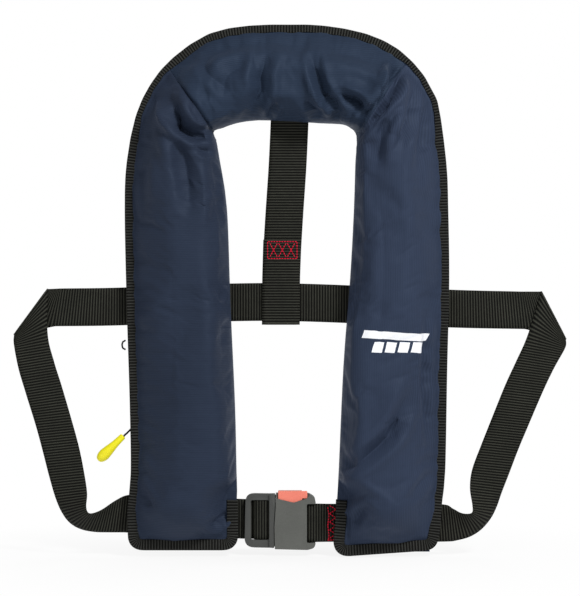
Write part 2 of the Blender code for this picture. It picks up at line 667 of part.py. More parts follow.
add_body("back_strap", sideways_ribbon(strap_path, WEBBING_WIDTH), (34, 35, 29, 0.85, 0.0), STRAP_HINGE)
add_body("strap_anchor_patch", plate(rounded((-24.0, 23.0), (436.6, 472.0), 3.0), 0.3, 1.6),
         (*NAVY, 0.85, 0.0))
add_body("rear_belt", ribbon([
    ((-BELT_TIP + 0.5, 222.0, 4.0), (-242.0, 267.0, 4.0)), ((-236.0, 229.6, 4.0), (-230.0, 267.6, 4.0)),
    ((-170.0, 230.5, 4.0), (-170.0, 268.5, 4.0)), ((-60.0, 234.6, 4.0), (-60.0, 272.6, 4.0)),
    ((20.0, 234.2, 4.0), (20.0, 272.2, 4.0)), ((160.0, 228.4, 4.0), (160.0, 266.4, 4.0)),
    ((240.0, 226.5, 4.0), (236.0, 264.5, 4.0)), ((BELT_TIP - 0.5, 217.0, 4.0), (252.0, 264.5, 4.0))]),
    (*BELT_BLACK, 0.85, 0.0), STRAP_HINGE)

# ---------------------------------------------------------------- side belts

add_body("side_belt_right", ribbon([
    ((-BELT_TIP, 221.0, 1.5), (-242.0, 267.0, 1.5)), ((-BELT_TIP, 214.0, 1.5), (-243.0, 214.0, 1.5)),
    ((-274.0, 190.0, 1.6), (-236.0, 190.0, 1.6)), ((-266.0, 166.0, 1.8), (-228.0, 166.0, 1.8)),
    ((-255.0, 130.0, 2.0), (-218.0, 130.0, 2.0)), ((-248.0, 106.0, 2.5), (-212.0, 106.0, 2.0)),
    ((-242.0, 82.0, 4.0), (-207.0, 82.0, 0.0)), ((-236.0, 58.0, 8.0), (-205.0, 60.0, -6.0)),
    ((-231.0, 44.0, 10.5), (-206.0, 49.0, -10.0)), ((-224.0, 32.0, 11.0), (-205.0, 43.0, -11.0)),
    ((-212.0, 24.5, 10.8), (-199.0, 41.0, -9.0)), ((-196.0, 22.5, 8.0), (-188.0, 47.0, -4.0)),
    ((-180.0, 23.0, 5.0), (-174.0, 56.0, 2.7)), ((-164.0, 22.8, 4.0), (-162.0, 60.8, 4.0)),
    ((-140.0, 21.5, 4.0), (-140.0, 59.5, 4.0))]), (*BELT_BLACK, 0.85, 0.0))

LEFT_BELT_Z = 32.25
BAR_X = 21.0
left_edges = [
    ((BELT_TIP, 216.0, 1.5), (252.0, 264.5, 1.5)), ((277.5, 211.0, 1.5), (237.0, 213.0, 1.5)),
    ((265.0, 190.0, 1.6), (225.0, 190.0, 1.6)), ((254.0, 166.0, 1.8), (214.0, 166.0, 1.8)),
    ((239.0, 130.0, 2.0), (200.0, 130.0, 2.0)), ((229.0, 106.0, 2.5), (190.0, 106.0, 2.0)),
    ((220.0, 82.0, 4.0), (182.0, 82.0, 0.0)), ((213.0, 64.0, 8.0), (181.0, 66.0, -5.0)),
    ((208.0, 48.0, 10.5), (185.0, 50.0, -9.5)), ((203.0, 36.0, 11.0), (183.0, 43.5, -11.0)),
    ((193.0, 24.5, 10.8), (178.0, 42.0, -9.0)), ((181.0, 17.3, 8.0), (171.0, 44.0, -3.0)),
    ((168.0, 14.5, 5.0), (163.0, 48.0, 2.7)), ((155.0, 13.5, 4.0), (152.0, 51.4, 4.0))]
left_run = [(100.0, 4.0), (50.0, 4.0), (38.0, 3.9), (29.0, 2.2), (22.0, 0.5), (18.6, 0.6), (17.0, 2.0),
            (16.6, 5.0), (17.0, 8.0), (18.6, 9.5), (22.0, 9.7), (30.0, 8.6), (38.0, 6.6), (47.0, 6.5)]
half_width = WEBBING_WIDTH / 2
left_edges += [((x, LEFT_BELT_Z - half_width, depth), (x, LEFT_BELT_Z + half_width, depth))
               for x, depth in left_run]
add_body("side_belt_left", ribbon(left_edges), (*BELT_BLACK, 0.85, 0.0))

# ---------------------------------------------------------------- buckle

PARTING = 4.95                      # depth of the housing's parting plane and of the tongue's middle
HOUSING_HALF = 7.25
SKIN = 1.2
TONGUE_HALF = 2.0
TONGUE_Z = (18.0, 52.0)
BUCKLE_RIGHT_X = 15.4
# slightly wavy mouth edge where the two buckle halves meet, downward
MOUTH_EDGE = [(-14.2, 62.0), (-14.4, 48.0), (-15.6, 30.0), (-15.2, 7.0)]
MOUTH_GAP = 0.35


def housing_outline(button_notch):
    """(x, z) outline of one housing half with the ears that carry the webbing bar."""
    top = ([(24.0, 61.0), (20.5, 61.0), (20.0, 57.0), (3.5, 53.0), (-12.7, 57.0), (-12.8, 62.0)]
           if button_notch else [(24.0, 61.0)])
    return [(24.0, 6.0), (24.0, 12.5), (BUCKLE_RIGHT_X, 12.5), (BUCKLE_RIGHT_X, 51.9),
            (24.0, 51.9), *top, *MOUTH_EDGE]


def bar(front, rear):
    """Half of the webbing bar between the housing's ears."""
    return block((BAR_X - 2.5, BAR_X + 2.5), (11.0, 53.0), (front, rear))


PLASTIC = (99, 101, 96, 0.42, 0.0)
front_half = add_body("buckle_housing_front",
                      plate(housing_outline(True), PARTING - HOUSING_HALF, PARTING - GAP / 2), PLASTIC)
combine(front_half, (bar(2.0, PARTING - GAP / 2),), "UNION")
combine(front_half, (
    block((-16.0, 12.5), (TONGUE_Z[0] - 1, TONGUE_Z[1] + 1), (PARTING - TONGUE_HALF - 0.4, PARTING + 1)),
    block((-12.4, 12.5), (42.0, 63.0), (PARTING - HOUSING_HALF + SKIN, PARTING + 1)),
    block((12.0, 17.8), (53.7, 63.0), (PARTING - HOUSING_HALF + SKIN, PARTING - TONGUE_HALF)),
    block((0.8, 6.2), (30.0, 43.0), (PARTING - HOUSING_HALF + SKIN, PARTING - TONGUE_HALF))), "DIFFERENCE")
rear_half = add_body("buckle_housing_rear",
                     plate(housing_outline(False), PARTING + GAP / 2, PARTING + HOUSING_HALF), PLASTIC)
combine(rear_half, (bar(PARTING + GAP / 2, 8.0),), "UNION")
combine(rear_half, (
    block((-16.0, 12.5), (TONGUE_Z[0] - 1, TONGUE_Z[1] + 1), (PARTING - 1, PARTING + TONGUE_HALF + 0.4)),
    block((-12.4, 12.5), (52.5, 63.0), (PARTING - 1, PARTING + HOUSING_HALF - SKIN))), "DIFFERENCE")

BUTTON_PIVOT = (3.5, 60.0, 0.0)
button_face = PARTING - HOUSING_HALF + SKIN + GAP
button = add_body("release_button", plate(
    [(-12.0, 64.6), (17.4, 64.6), (17.4, 57.0), (12.1, 57.0), (12.1, 46.0), (-12.0, 46.0)],
    button_face, 2.1),
    (246, 130, 110, 0.4, 0.0), BUTTON_PIVOT)
combine(button, (block((-12.0, 12.1), (57.0, 64.6), (2.0, PARTING + HOUSING_HALF - SKIN - GAP)),), "UNION")
add_body("button_spring", coil((3.5, 30.5, 0.85), 15.0, 1.25, 0.25, 5),
         (160, 162, 165, 0.3, 1.0), (3.5, 30.5, 0.85))

FRAME_FRONT, FRAME_REAR = 1.2, 8.7
WINDOW_Z = (15.8, 55.6)
# shoulder of the male half that follows the housing's mouth
shoulder = [(x - MOUTH_GAP, min(max(z, 8.2), 61.6)) for x, z in MOUTH_EDGE]
frame_outline = rounded((-46.0, -16.2), (7.5, 63.0), 9.0)
frame = add_body("buckle_male_half", plate(frame_outline, FRAME_FRONT, FRAME_REAR), (66, 68, 66, 0.42, 0.0),
                 (-31.0, 35.0, PARTING))
combine(frame, (
    plate([(-20.9, 8.2), (-20.9, 61.6), *shoulder][::-1], PARTING - 6.4, PARTING + 6.4),
    block((-17.0, 11.0), TONGUE_Z, (PARTING - TONGUE_HALF, PARTING + TONGUE_HALF))), "UNION")
combine(frame, (
    block((-39.0, -33.0), WINDOW_Z, (-5.0, 15.0)),
    block((-25.0, -21.0), WINDOW_Z, (-5.0, 15.0)),
    block((-39.5, -21.5), WINDOW_Z, (-5.0, 3.7)),
    block((-39.5, -21.5), WINDOW_Z, (6.2, 15.0)),
    block((-47.0, -38.8), WINDOW_Z, (5.0, 15.0))), "DIFFERENCE")

adjuster = [(-108.0, 39.0, 4.0), (-62.0, 37.0, 4.0), (-55.0, 36.6, 4.4), (-49.0, 36.3, 6.5),
            (-38.4, 36.0, 6.6), (-36.7, 36.0, 5.6), (-35.8, 35.9, 3.6), (-34.4, 35.8, 2.5),
            (-32.5, 35.8, 2.2), (-26.0, 35.8, 2.2), (-24.0, 35.8, 3.0), (-23.0, 35.8, 5.0),
            (-23.6, 35.8, 7.6), (-25.6, 35.8, 8.9), (-49.0, 35.9, 9.0), (-56.0, 36.2, 7.8),
            (-62.0, 36.4, 6.7), (-72.0, 37.0, 6.6)]
add_body("adjuster_strap", level_ribbon(adjuster), (*BELT_BLACK, 0.85, 0.0), (-31.0, 35.0, PARTING))
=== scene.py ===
"""Looks of the inflatable life jacket: cloth, binding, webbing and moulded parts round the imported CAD."""

import json
import math

import bmesh
import bpy
import numpy as np
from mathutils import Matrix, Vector, noise

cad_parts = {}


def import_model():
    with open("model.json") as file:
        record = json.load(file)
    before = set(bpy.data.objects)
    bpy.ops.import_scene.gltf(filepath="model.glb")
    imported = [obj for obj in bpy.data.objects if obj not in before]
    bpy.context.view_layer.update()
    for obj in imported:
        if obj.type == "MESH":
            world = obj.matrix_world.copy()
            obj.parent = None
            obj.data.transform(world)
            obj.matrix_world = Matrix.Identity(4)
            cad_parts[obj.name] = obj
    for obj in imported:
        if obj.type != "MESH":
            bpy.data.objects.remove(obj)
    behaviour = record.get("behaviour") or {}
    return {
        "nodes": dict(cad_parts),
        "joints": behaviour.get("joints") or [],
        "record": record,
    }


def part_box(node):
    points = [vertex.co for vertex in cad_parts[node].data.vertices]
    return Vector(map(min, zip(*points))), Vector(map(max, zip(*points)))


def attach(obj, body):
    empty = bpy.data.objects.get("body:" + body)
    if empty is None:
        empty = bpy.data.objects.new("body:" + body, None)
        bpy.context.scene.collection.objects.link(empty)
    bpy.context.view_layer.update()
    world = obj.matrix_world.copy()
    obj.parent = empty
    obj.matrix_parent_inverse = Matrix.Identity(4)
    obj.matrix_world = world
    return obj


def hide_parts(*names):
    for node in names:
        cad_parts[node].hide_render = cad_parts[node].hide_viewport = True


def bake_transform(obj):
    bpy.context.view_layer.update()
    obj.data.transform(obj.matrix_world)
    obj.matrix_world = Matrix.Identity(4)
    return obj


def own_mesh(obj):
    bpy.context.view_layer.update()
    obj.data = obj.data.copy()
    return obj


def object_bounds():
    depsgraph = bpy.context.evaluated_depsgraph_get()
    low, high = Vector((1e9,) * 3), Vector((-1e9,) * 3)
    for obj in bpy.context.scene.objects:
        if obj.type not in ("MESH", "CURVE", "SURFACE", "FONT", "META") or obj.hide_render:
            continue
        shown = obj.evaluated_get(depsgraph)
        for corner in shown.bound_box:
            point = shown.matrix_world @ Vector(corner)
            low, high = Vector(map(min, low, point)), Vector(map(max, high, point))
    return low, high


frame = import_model()
CAD_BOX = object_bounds()

# Places below are (x, z, depth) in millimetres. Depth is measured from the rear face of the
# back panel and is negative toward the front.
MM = 0.001
PANEL_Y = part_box("cover_back_panel")[1].y


def world(places):
    """Metres in the frame from (x, z, depth) places."""
    places = np.asarray(places, float)
    return np.stack([places[..., 0] * MM, PANEL_Y + places[..., 2] * MM, places[..., 1] * MM], axis=-1)


def span(node):
    """x, z and depth ranges of a CAD node in millimetres."""
    low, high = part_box(node)
    return ((low.x / MM, high.x / MM), (low.z / MM, high.z / MM),
            ((low.y - PANEL_Y) / MM, (high.y - PANEL_Y) / MM))


def body_of(node):
    """Name of the body that a CAD node belongs to."""
    bodies = frame["record"]["behaviour"]["bodies"]
    return next(body for body, nodes in bodies.items() if node in nodes)


# ---------------------------------------------------------------- lines

def lengths_along(line):
    """Distance along a line to each of its places."""
    return np.concatenate([[0.0], np.cumsum(np.linalg.norm(np.diff(line, axis=0), axis=1))])


def places_at(line, lengths, wanted):
    """Places at the wanted lengths along a line."""
    return np.stack([np.interp(wanted, lengths, column) for column in line.T], axis=1)


def resample(line, spacing, measure=None):
    """Evenly spaced places along a line; measure makes the line that lengths are taken from."""
    line = np.asarray(line, float)
    lengths = lengths_along(line if measure is None else measure(line))
    count = max(2, int(round(lengths[-1] / spacing)) + 1)
    return places_at(line, lengths, np.linspace(0.0, lengths[-1], count))


def fitted(line, count, power=1.0):
    """The line as a fixed number of places, closer together toward its end when power is above 1."""
    lengths = lengths_along(line)
    return places_at(line, lengths, (1 - (1 - np.linspace(0.0, 1.0, count)) ** power) * lengths[-1])


def unit_rows(vectors):
    """The vectors in the rows, each made one long."""
    return vectors / np.linalg.norm(vectors, axis=1)[:, None]


def cross_axes(line, reference):
    """Two unit vectors square to a line at each of its places; the first is also square to the reference."""
    heading = unit_rows(np.gradient(line, axis=0))
    side = unit_rows(np.cross(heading, np.array(reference)))
    return side, np.cross(heading, side)


def smooth_curve(points, steps=12):
    """Catmull-Rom curve through points of any dimension."""
    points = np.asarray(points, float)
    ends = np.vstack([2 * points[0] - points[1], points, 2 * points[-1] - points[-2]])
    share = np.linspace(0.0, 1.0, steps, endpoint=False)[:, None]
    pieces = []
    for index in range(len(points) - 1):
        a, b, c, d = ends[index:index + 4]
        pieces.append(0.5 * (2 * b + (c - a) * share + (2 * a - 5 * b + 4 * c - d) * share ** 2
                             + (3 * b - a - 3 * c + d) * share ** 3))
    return np.vstack(pieces + [points[-1:]])


def running_mean(line, reach):
    """The line smoothed over a few places each side, with its ends kept."""
    if reach < 1:
        return line
    padded = np.vstack([2 * line[0] - line[reach:0:-1], line, 2 * line[-1] - line[-2:-reach - 2:-1]])
    kernel = np.ones(2 * reach + 1) / (2 * reach + 1)
    return np.stack([np.convolve(column, kernel, mode="valid") for column in padded.T], axis=1)


def distance_to(points, line):
    """Distance from (x, z) points to a line, and how far along it (0 to 1) the nearest place is."""
    best = np.full(len(points), np.inf)
    along = np.zeros(len(points))
    line = np.asarray(line, float)
    starts = lengths_along(line)
    for index, length in enumerate(np.linalg.norm(np.diff(line, axis=0), axis=1)):
        if length < 1e-9:
            continue
        heading = (line[index + 1] - line[index]) / length
        offset = points - line[index]
        part = np.clip(offset @ heading, 0.0, length)
        gap = np.linalg.norm(offset - part[:, None] * heading, axis=1)
        nearer = gap < best
        best[nearer] = gap[nearer]
        along[nearer] = (starts[index] + part[nearer]) / starts[-1]
    return best, along


def smoothstep(value, low, high):
    """0 below low, 1 above high and a smooth climb between them."""
    share = np.clip((value - low) / (high - low), 0.0, 1.0)
    return share * share * (3 - 2 * share)


def wander(points, size, seed):
    """Smooth noise between about -1 and 1 at (x, z) places; size is that of its features in millimetres."""
    return np.array([noise.noise(Vector((*(point / size), seed))) for point in points])


# ---------------------------------------------------------------- materials

def feed(holder, inputs):
    """Fills a node's inputs by name or number with graph values, sockets or plain settings."""
    for name, value in inputs.items():
        if isinstance(value, Value):
            value = value.socket
        if isinstance(value, bpy.types.NodeSocket):
            holder.id_data.links.new(value, holder.inputs[name])
        else:
            holder.inputs[name].default_value = value


def add_node(tree, kind, inputs, **settings):
    """A shader node with its settings and inputs filled in."""
    made = tree.nodes.new(kind)
    for name, value in settings.items():
        setattr(made, name, value)
    feed(made, inputs)
    return made


class Value:
    """One number in a shader graph; arithmetic on it adds the maths nodes."""

    def __init__(self, socket):
        self.socket = socket

    def maths(self, operation, *others):
        """The value of a maths node that takes this one first."""
        inputs = dict(enumerate((self, *others)))
        return Value(add_node(self.socket.id_data, "ShaderNodeMath", inputs, operation=operation).outputs[0])

    def __add__(self, other):
        return self.maths("ADD", other)

    def __sub__(self, other):
        return self.maths("SUBTRACT", other)

    def __mul__(self, other):
        return self.maths("MULTIPLY", other)

    def within(self, low, high):
        """1 between two limits and 0 outside them."""
        return self.maths("GREATER_THAN", low) * self.maths("LESS_THAN", high)

    def ribs(self, pitch):
        """0 in the grooves and 1 on the crests of ribs across a coordinate in metres."""
        return (self * (2 * math.pi / pitch)).maths("SINE") * 0.5 + 0.5


class Look:
    """A material in the making: its node tree and its Principled shader."""

    def __init__(self, name):
        self.material = bpy.data.materials.new(name)
        self.material.use_nodes = True
        self.tree = self.material.node_tree
        self.shader = self.tree.nodes["Principled BSDF"]

    def coordinates(self, kind):
        """Places on the surface: "UV" for rest places in metres, "Object" for the frame's."""
        return add_node(self.tree, "ShaderNodeTexCoord", {}).outputs[kind]

    def axes(self, coordinates):
        """The first two coordinates as values."""
        parts = add_node(self.tree, "ShaderNodeSeparateXYZ", {"Vector": coordinates})
        return Value(parts.outputs[0]), Value(parts.outputs[1])

    def grain(self, coordinates, scale, detail=3.0, stretch=(1.0, 1.0, 1.0)):
        """Noise value in its own scale per metre."""
        mapping = add_node(self.tree, "ShaderNodeMapping", {"Vector": coordinates, "Scale": stretch})
        inputs = {"Vector": mapping.outputs[0], "Scale": scale, "Detail": detail, "Roughness": 0.55}
        return Value(add_node(self.tree, "ShaderNodeTexNoise", inputs).outputs["Fac"])

    def mix(self, share, first, second):
        """Colour between two colours."""
        inputs = {0: share, 6: first, 7: second}
        return add_node(self.tree, "ShaderNodeMix", inputs, data_type="RGBA").outputs[2]

    def bump(self, height, distance, strength, **normal):
        """Normal of a surface with a height in shares of a distance in metres."""
        inputs = {"Height": height, "Distance": distance, "Strength": strength, **normal}
        return add_node(self.tree, "ShaderNodeBump", inputs).outputs[0]

    def shaded(self, inputs):
        """The finished material, once the shader has its inputs."""
        feed(self.shader, inputs)
        return self.material


def tone(colour, factor=1.0):
    """RGBA of a colour made darker or brighter."""
    return (*(min(part * factor, 1.0) for part in colour), 1.0)


def cloth_look(name, colour, rib_axis, printed=False):
    """Ribbed polyester cloth. UVs hold rest places in metres; rib_axis 0 gives upright ribs, 1 level ones."""
    look = Look(name)
    uv = look.coordinates("UV")
    axes = look.axes(uv)
    ridge = axes[rib_axis].ribs(0.0017)
    threads = axes[1 - rib_axis].ribs(0.00062)
    broad = look.grain(uv, 9.0)
    streaks = look.grain(uv, 60.0, 4.0, (6.0, 0.5, 1.0) if rib_axis == 0 else (0.5, 6.0, 1.0))
    fuzz = look.grain(uv, 1500.0, 2.0)
    shade = broad * 0.4 + streaks * 0.3 + ridge * 0.34
    tint = look.mix(shade, tone(colour, 0.62), tone(colour, 1.38))
    if printed:
        worn = look.grain(uv, 900.0) * 0.3 + 0.8
        tint = look.mix(print_mask(*axes) * worn, tint, PRINT_WHITE)
    height = ridge * 0.7 + threads * 0.15 + fuzz * 0.3
    return look.shaded({"Base Color": tint, "Roughness": broad * 0.12 + 0.5, "Sheen Weight": 0.06,
                        "Sheen Roughness": 0.4, "Sheen Tint": (0.45, 0.6, 1.0, 1.0), "IOR": 1.2,
                        "Specular Tint": (0.6, 0.75, 1.0, 1.0), "Normal": look.bump(height, 0.00014, 0.8)})


def webbing_look(name, dark, light, pitch):
    """Woven webbing or tape, with painted highlights on its rib crests and painted shade in the grooves. UV x
    runs along the tape in metres and y across it.
    """
    look = Look(name)
    uv = look.coordinates("UV")
    along, across = look.axes(uv)
    rib = along.ribs(pitch)
    patchy = look.grain(uv, 35.0)
    fuzz = look.grain(uv, 2200.0, 2.0)
    # painted light and shade: the colour runs from the dark one in the rib grooves (painted shade) to the
    # light one on the rib crests (painted highlight), broken up by patchy tone and the fine threads
    share = rib * rib * (patchy * 0.7 + 0.35) * (across.ribs(0.0011) * 0.85 + 0.3)
    height = across.ribs(0.00055) * 0.4 + fuzz * 0.5 + rib * 0.6
    return look.shaded({"Base Color": look.mix(share, tone(dark), tone(light)),
                        "Roughness": patchy * 0.2 + 0.55, "Specular IOR Level": 0.1,
                        "Normal": look.bump(height, 0.0002, 0.8)})


def moulded_look(name, colour, roughness=0.42, texture=0.00006, metal=0.0, coat=0.0):
    """Moulded plastic, rubber or metal with fine surface grain, handling marks and a painted highlight along
    sharp edges.
    """
    look = Look(name)
    place = look.coordinates("Object")
    fine = look.grain(place, 900.0)
    broad = look.grain(place, 45.0, 4.0)
    scuffs = look.grain(place, 260.0, 5.0, (1.0, 0.2, 3.0))
    # painted highlight: where the surface is sharply pointed, at edges, the colour is mixed toward a much
    # paler tone
    pointed = Value(add_node(look.tree, "ShaderNodeNewGeometry", {}).outputs["Pointiness"])
    edge = ((pointed - 0.52) * 6.0).maths("MAXIMUM", 0.0).maths("MINIMUM", 0.35)
    base = look.mix((fine + broad) * 0.5, tone(colour, 0.62), tone(colour, 1.4))
    return look.shaded({"Base Color": look.mix(edge, base, tone(colour, 1.9)),
                        "Roughness": scuffs * 0.16 + (roughness - 0.06), "Metallic": metal,
                        "Coat Weight": coat, "Normal": look.bump(fine, texture, 0.7)})


def coated_look(name, colour):
    """Yellow coated bladder cloth: satin, faintly woven and creased."""
    look = Look(name)
    place = look.coordinates("Object")
    broad = look.grain(place, 14.0, 4.0)
    crumple = look.grain(place, 70.0, 5.0)
    creases = look.bump(crumple, 0.0012, 0.6)
    weave = look.bump(look.grain(place, 2400.0, 2.0), 0.0001, 0.6, Normal=creases)
    return look.shaded({"Base Color": look.mix(broad, tone(colour, 0.85), tone(colour, 1.05)),
                        "Roughness": crumple * 0.2 + 0.34, "Normal": weave})


def napped_look(name, colour):
    """Hook and loop tape: a dense dark pile."""
    look = Look(name)
    place = look.coordinates("Object")
    voronoi = add_node(look.tree, "ShaderNodeTexVoronoi", {"Vector": place, "Scale": 900.0})
    cells = Value(voronoi.outputs["Distance"])
    pile = look.grain(place, 1300.0, 4.0)
    return look.shaded({"Base Color": look.mix(cells * 1.2, tone(colour, 2.2), tone(colour, 0.6)),
                        "Roughness": 0.9, "Sheen Weight": 0.5,
                        "Normal": look.bump(cells + pile, 0.0004, 0.9)})


# plain bars in place of the print: climb, lean, and lower left and upper right corners in metres
PRINT_WHITE = (0.82, 0.83, 0.86, 1.0)
PRINT_TILT = -0.05
PRINT_SLANT = 0.28
PRINT_BARS = [((0.0715, 0.2185), (0.1365, 0.2262))]
PRINT_BARS += [((0.0815 + step * 0.0128, 0.2045), (0.0915 + step * 0.0128, 0.2148)) for step in range(4)]


def print_mask(x, z):
    """1 inside the leaning bars printed on the left lobe and 0 elsewhere."""
    level, across = z - x * PRINT_TILT, x - z * PRINT_SLANT
    mask = level * 0.0
    for (left, low), (right, high) in PRINT_BARS:
        rise, lean = left * PRINT_TILT, low * PRINT_SLANT
        bar = level.within(low - rise, high - rise) * across.within(left - lean, right - lean)
        mask = mask.maths("MAXIMUM", bar)
    return mask


NAVY = (0.0188, 0.0262, 0.0455)
# painted light: the left lobe's navy is a brighter copy of the same cloth, standing for the stronger light
# that falls on that lobe
NAVY_LEFT_LIT = (0.0245, 0.0342, 0.0605)
LOOKS = {
    "cover_right": cloth_look("cover_cloth_level_ribs", NAVY, 1),
    "cover_collar": cloth_look("cover_cloth_collar", (0.0178, 0.0275, 0.0485), 1),
    "cover_left": cloth_look("cover_cloth_upright_ribs", NAVY_LEFT_LIT, 0, printed=True),
    "cover_cloth": cloth_look("cover_cloth_plain", NAVY, 1),
    # each webbing look's two colours are painted shade in the rib grooves and painted highlight on the rib
    # crests
    "binding_tape": webbing_look("binding_grosgrain", (0.0015, 0.0015, 0.001), (0.068, 0.07, 0.064), 0.0029),
    "belt_webbing": webbing_look("belt_webbing", (0.0008, 0.0008, 0.0004), (0.07, 0.072, 0.056), 0.00275),
    "loop_webbing": webbing_look("white_webbing", (0.45, 0.45, 0.43), (0.85, 0.85, 0.82), 0.0022),
    "hook_and_loop": napped_look("hook_and_loop_pile", (0.012, 0.013, 0.015)),
    "bladder_cloth": coated_look("bladder_coated_cloth", (0.93, 0.66, 0.02)),
    "inflator_plastic": moulded_look("inflator_plastic", (0.02, 0.021, 0.024)),
    "cylinder_steel": moulded_look("cylinder_painted_steel", (0.42, 0.43, 0.44), 0.34, 0.00004, 0.55),
    "small_steel": moulded_look("small_steel", (0.5, 0.51, 0.52), 0.28, 0.00002, 1.0),
    "gasket_rubber": moulded_look("gasket_rubber", (0.014, 0.014, 0.014), 0.7, 0.0001),
    "indicator_green": moulded_look("indicator_green", (0.02, 0.36, 0.08), 0.3, 0.00003, coat=0.3),
    "handle_plastic": moulded_look("handle_plastic", (0.98, 0.78, 0.001), 0.45, 0.00003),
    "cord_black": webbing_look("cord_black", (0.005, 0.005, 0.0052), (0.028, 0.028, 0.03), 0.0016),
    "tube_rubber": moulded_look("tube_rubber", (0.016, 0.0165, 0.019), 0.55, 0.0001),
    "valve_plastic": moulded_look("valve_plastic", (0.52, 0.045, 0.022), 0.35, 0.00003),
    "whistle_plastic": moulded_look("whistle_plastic", (0.85, 0.17, 0.013), 0.3, 0.00003, coat=0.3),
    "buckle_grey": moulded_look("buckle_grey", (0.08, 0.083, 0.075), 0.44, 0.00007),
    "frame_grey": moulded_look("frame_grey", (0.042, 0.044, 0.041), 0.44, 0.00007),
    "button_red": moulded_look("button_red", (0.9, 0.19, 0.13), 0.36, 0.00004, coat=0.2),
    "stitch_red": webbing_look("stitch_red", (0.55, 0.008, 0.03), (0.95, 0.03, 0.09), 0.0009),
    "stitch_dark": webbing_look("stitch_dark", (0.006, 0.006, 0.006), (0.03, 0.03, 0.03), 0.0009),
}


# ---------------------------------------------------------------- meshes

def link_object(name, data):
    """Object that holds the data, linked into the scene."""
    obj = bpy.data.objects.new(name, data)
    bpy.context.scene.collection.objects.link(obj)
    return obj


def solid_object(name, mesh):
    """Object from a bmesh, which is freed."""
    data = bpy.data.meshes.new(name)
    mesh.to_mesh(data)
    mesh.free()
    return link_object(name, data)


def make_object(name, places, faces, uvs, look):
    """Smooth mesh object from places, faces and one UV pair for each place."""
    mesh = bpy.data.meshes.new(name)
    mesh.from_pydata(world(places).reshape(-1, 3).tolist(), [], faces)
    layer = mesh.uv_layers.new(name="cloth")
    corners = np.zeros(len(mesh.loops), np.int32)
    mesh.loops.foreach_get("vertex_index", corners)
    layer.data.foreach_set("uv", np.asarray(uvs, np.float32).reshape(-1, 2)[corners].ravel())
    mesh.shade_smooth()
    mesh.materials.append(LOOKS[look])
    return link_object(name, mesh)


def vertex_vectors(obj, attribute="co"):
    """Places or normals of an object's vertices."""
    return np.array([getattr(vertex, attribute) for vertex in obj.data.vertices])


def move_vertices(obj, places):
    """Puts an object's vertices at new places in metres."""
    obj.data.vertices.foreach_set("co", places.astype(np.float32).ravel())
    obj.data.update()


def apply_modifiers(obj):
    """Replaces the object's mesh by its evaluated one."""
    graph = bpy.context.evaluated_depsgraph_get()
    evaluated = obj.evaluated_get(graph)
    data = bpy.data.meshes.new_from_object(evaluated, preserve_all_data_layers=True, depsgraph=graph)
    obj.modifiers.clear()
    obj.data = data


def subdivide(obj):
    """One level of smooth subdivision."""
    smoother = obj.modifiers.new("fine", "SUBSURF")
    smoother.levels = smoother.render_levels = 1
    apply_modifiers(obj)


def thicken(obj, thickness, offset=-1.0):
    """Gives a cloth surface its thickness in millimetres, to its back (-1) or its front (1)."""
    shell = obj.modifiers.new("cloth_thickness", "SOLIDIFY")
    shell.thickness = thickness * MM
    shell.offset = offset
    return shell


def tie(obj, slot, *nodes, body=None):
    """Hides the CAD nodes that a piece stands for and ties it to the body that it rides on; slot is not used.
    """
    if nodes:
        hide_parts(*nodes)
    if body:
        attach(obj, body)


def flap_blend(obj, side):
    """Bakes a piece's placement into its mesh; side is not used."""
    side + "_flap"
    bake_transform(obj)


def grid_faces(rows, columns, flip=False):
    """Faces of a grid of places stored row by row."""
    faces = []
    for row in range(rows - 1):
        for column in range(columns - 1):
            first = row * columns + column
            face = (first, first + 1, first + columns + 1, first + columns)
            faces.append(face[::-1] if flip else face)
    return faces


def tube_faces(count, size, base=0):
    """Faces of a tube through rings of places numbered from base, capped at both ends."""
    faces = []
    for ring in range(base, base + (count - 1) * size, size):
        for corner in range(size):
            following = (corner + 1) % size
            faces.append((ring + corner, ring + following, ring + size + following, ring + size + corner))
    last = base + (count - 1) * size
    faces.append(tuple(range(base, base + size))[::-1])
    faces.append(tuple(range(last, last + size)))
    return faces


def tube_object(name, rings, uvs, look):
    """Closed body through rings of places."""
    rings = np.asarray(rings, float)
    obj = make_object(name, rings, tube_faces(*rings.shape[:2]), uvs, look)
    face_outward(obj)
    return obj


def face_outward(obj):
    """Turns every face's normal outward."""
    mesh = bmesh.new()
    mesh.from_mesh(obj.data)
    bmesh.ops.recalc_face_normals(mesh, faces=mesh.faces)
    mesh.to_mesh(obj.data)
    mesh.free()


WEBBING_RIB = 2.75                  # pitch of the webbing's ribs
WEBBING_SECTION = 10                # places across each face
RIB_HEIGHT = 0.5
EDGE_ROUNDING = 1.0                 # width of the rounded selvedge
EDGE_SHARE = 0.25                   # share of the thickness left at the very edge


def web_middle(line):
    """Middle line of rows that each hold the places of two edges."""
    return (line[:, :3] + line[:, 3:]) / 2


def edge_rows(stations):
    """Rows of six columns from pairs of edge places."""
    return np.array([[*one, *two] for one, two in stations], float)


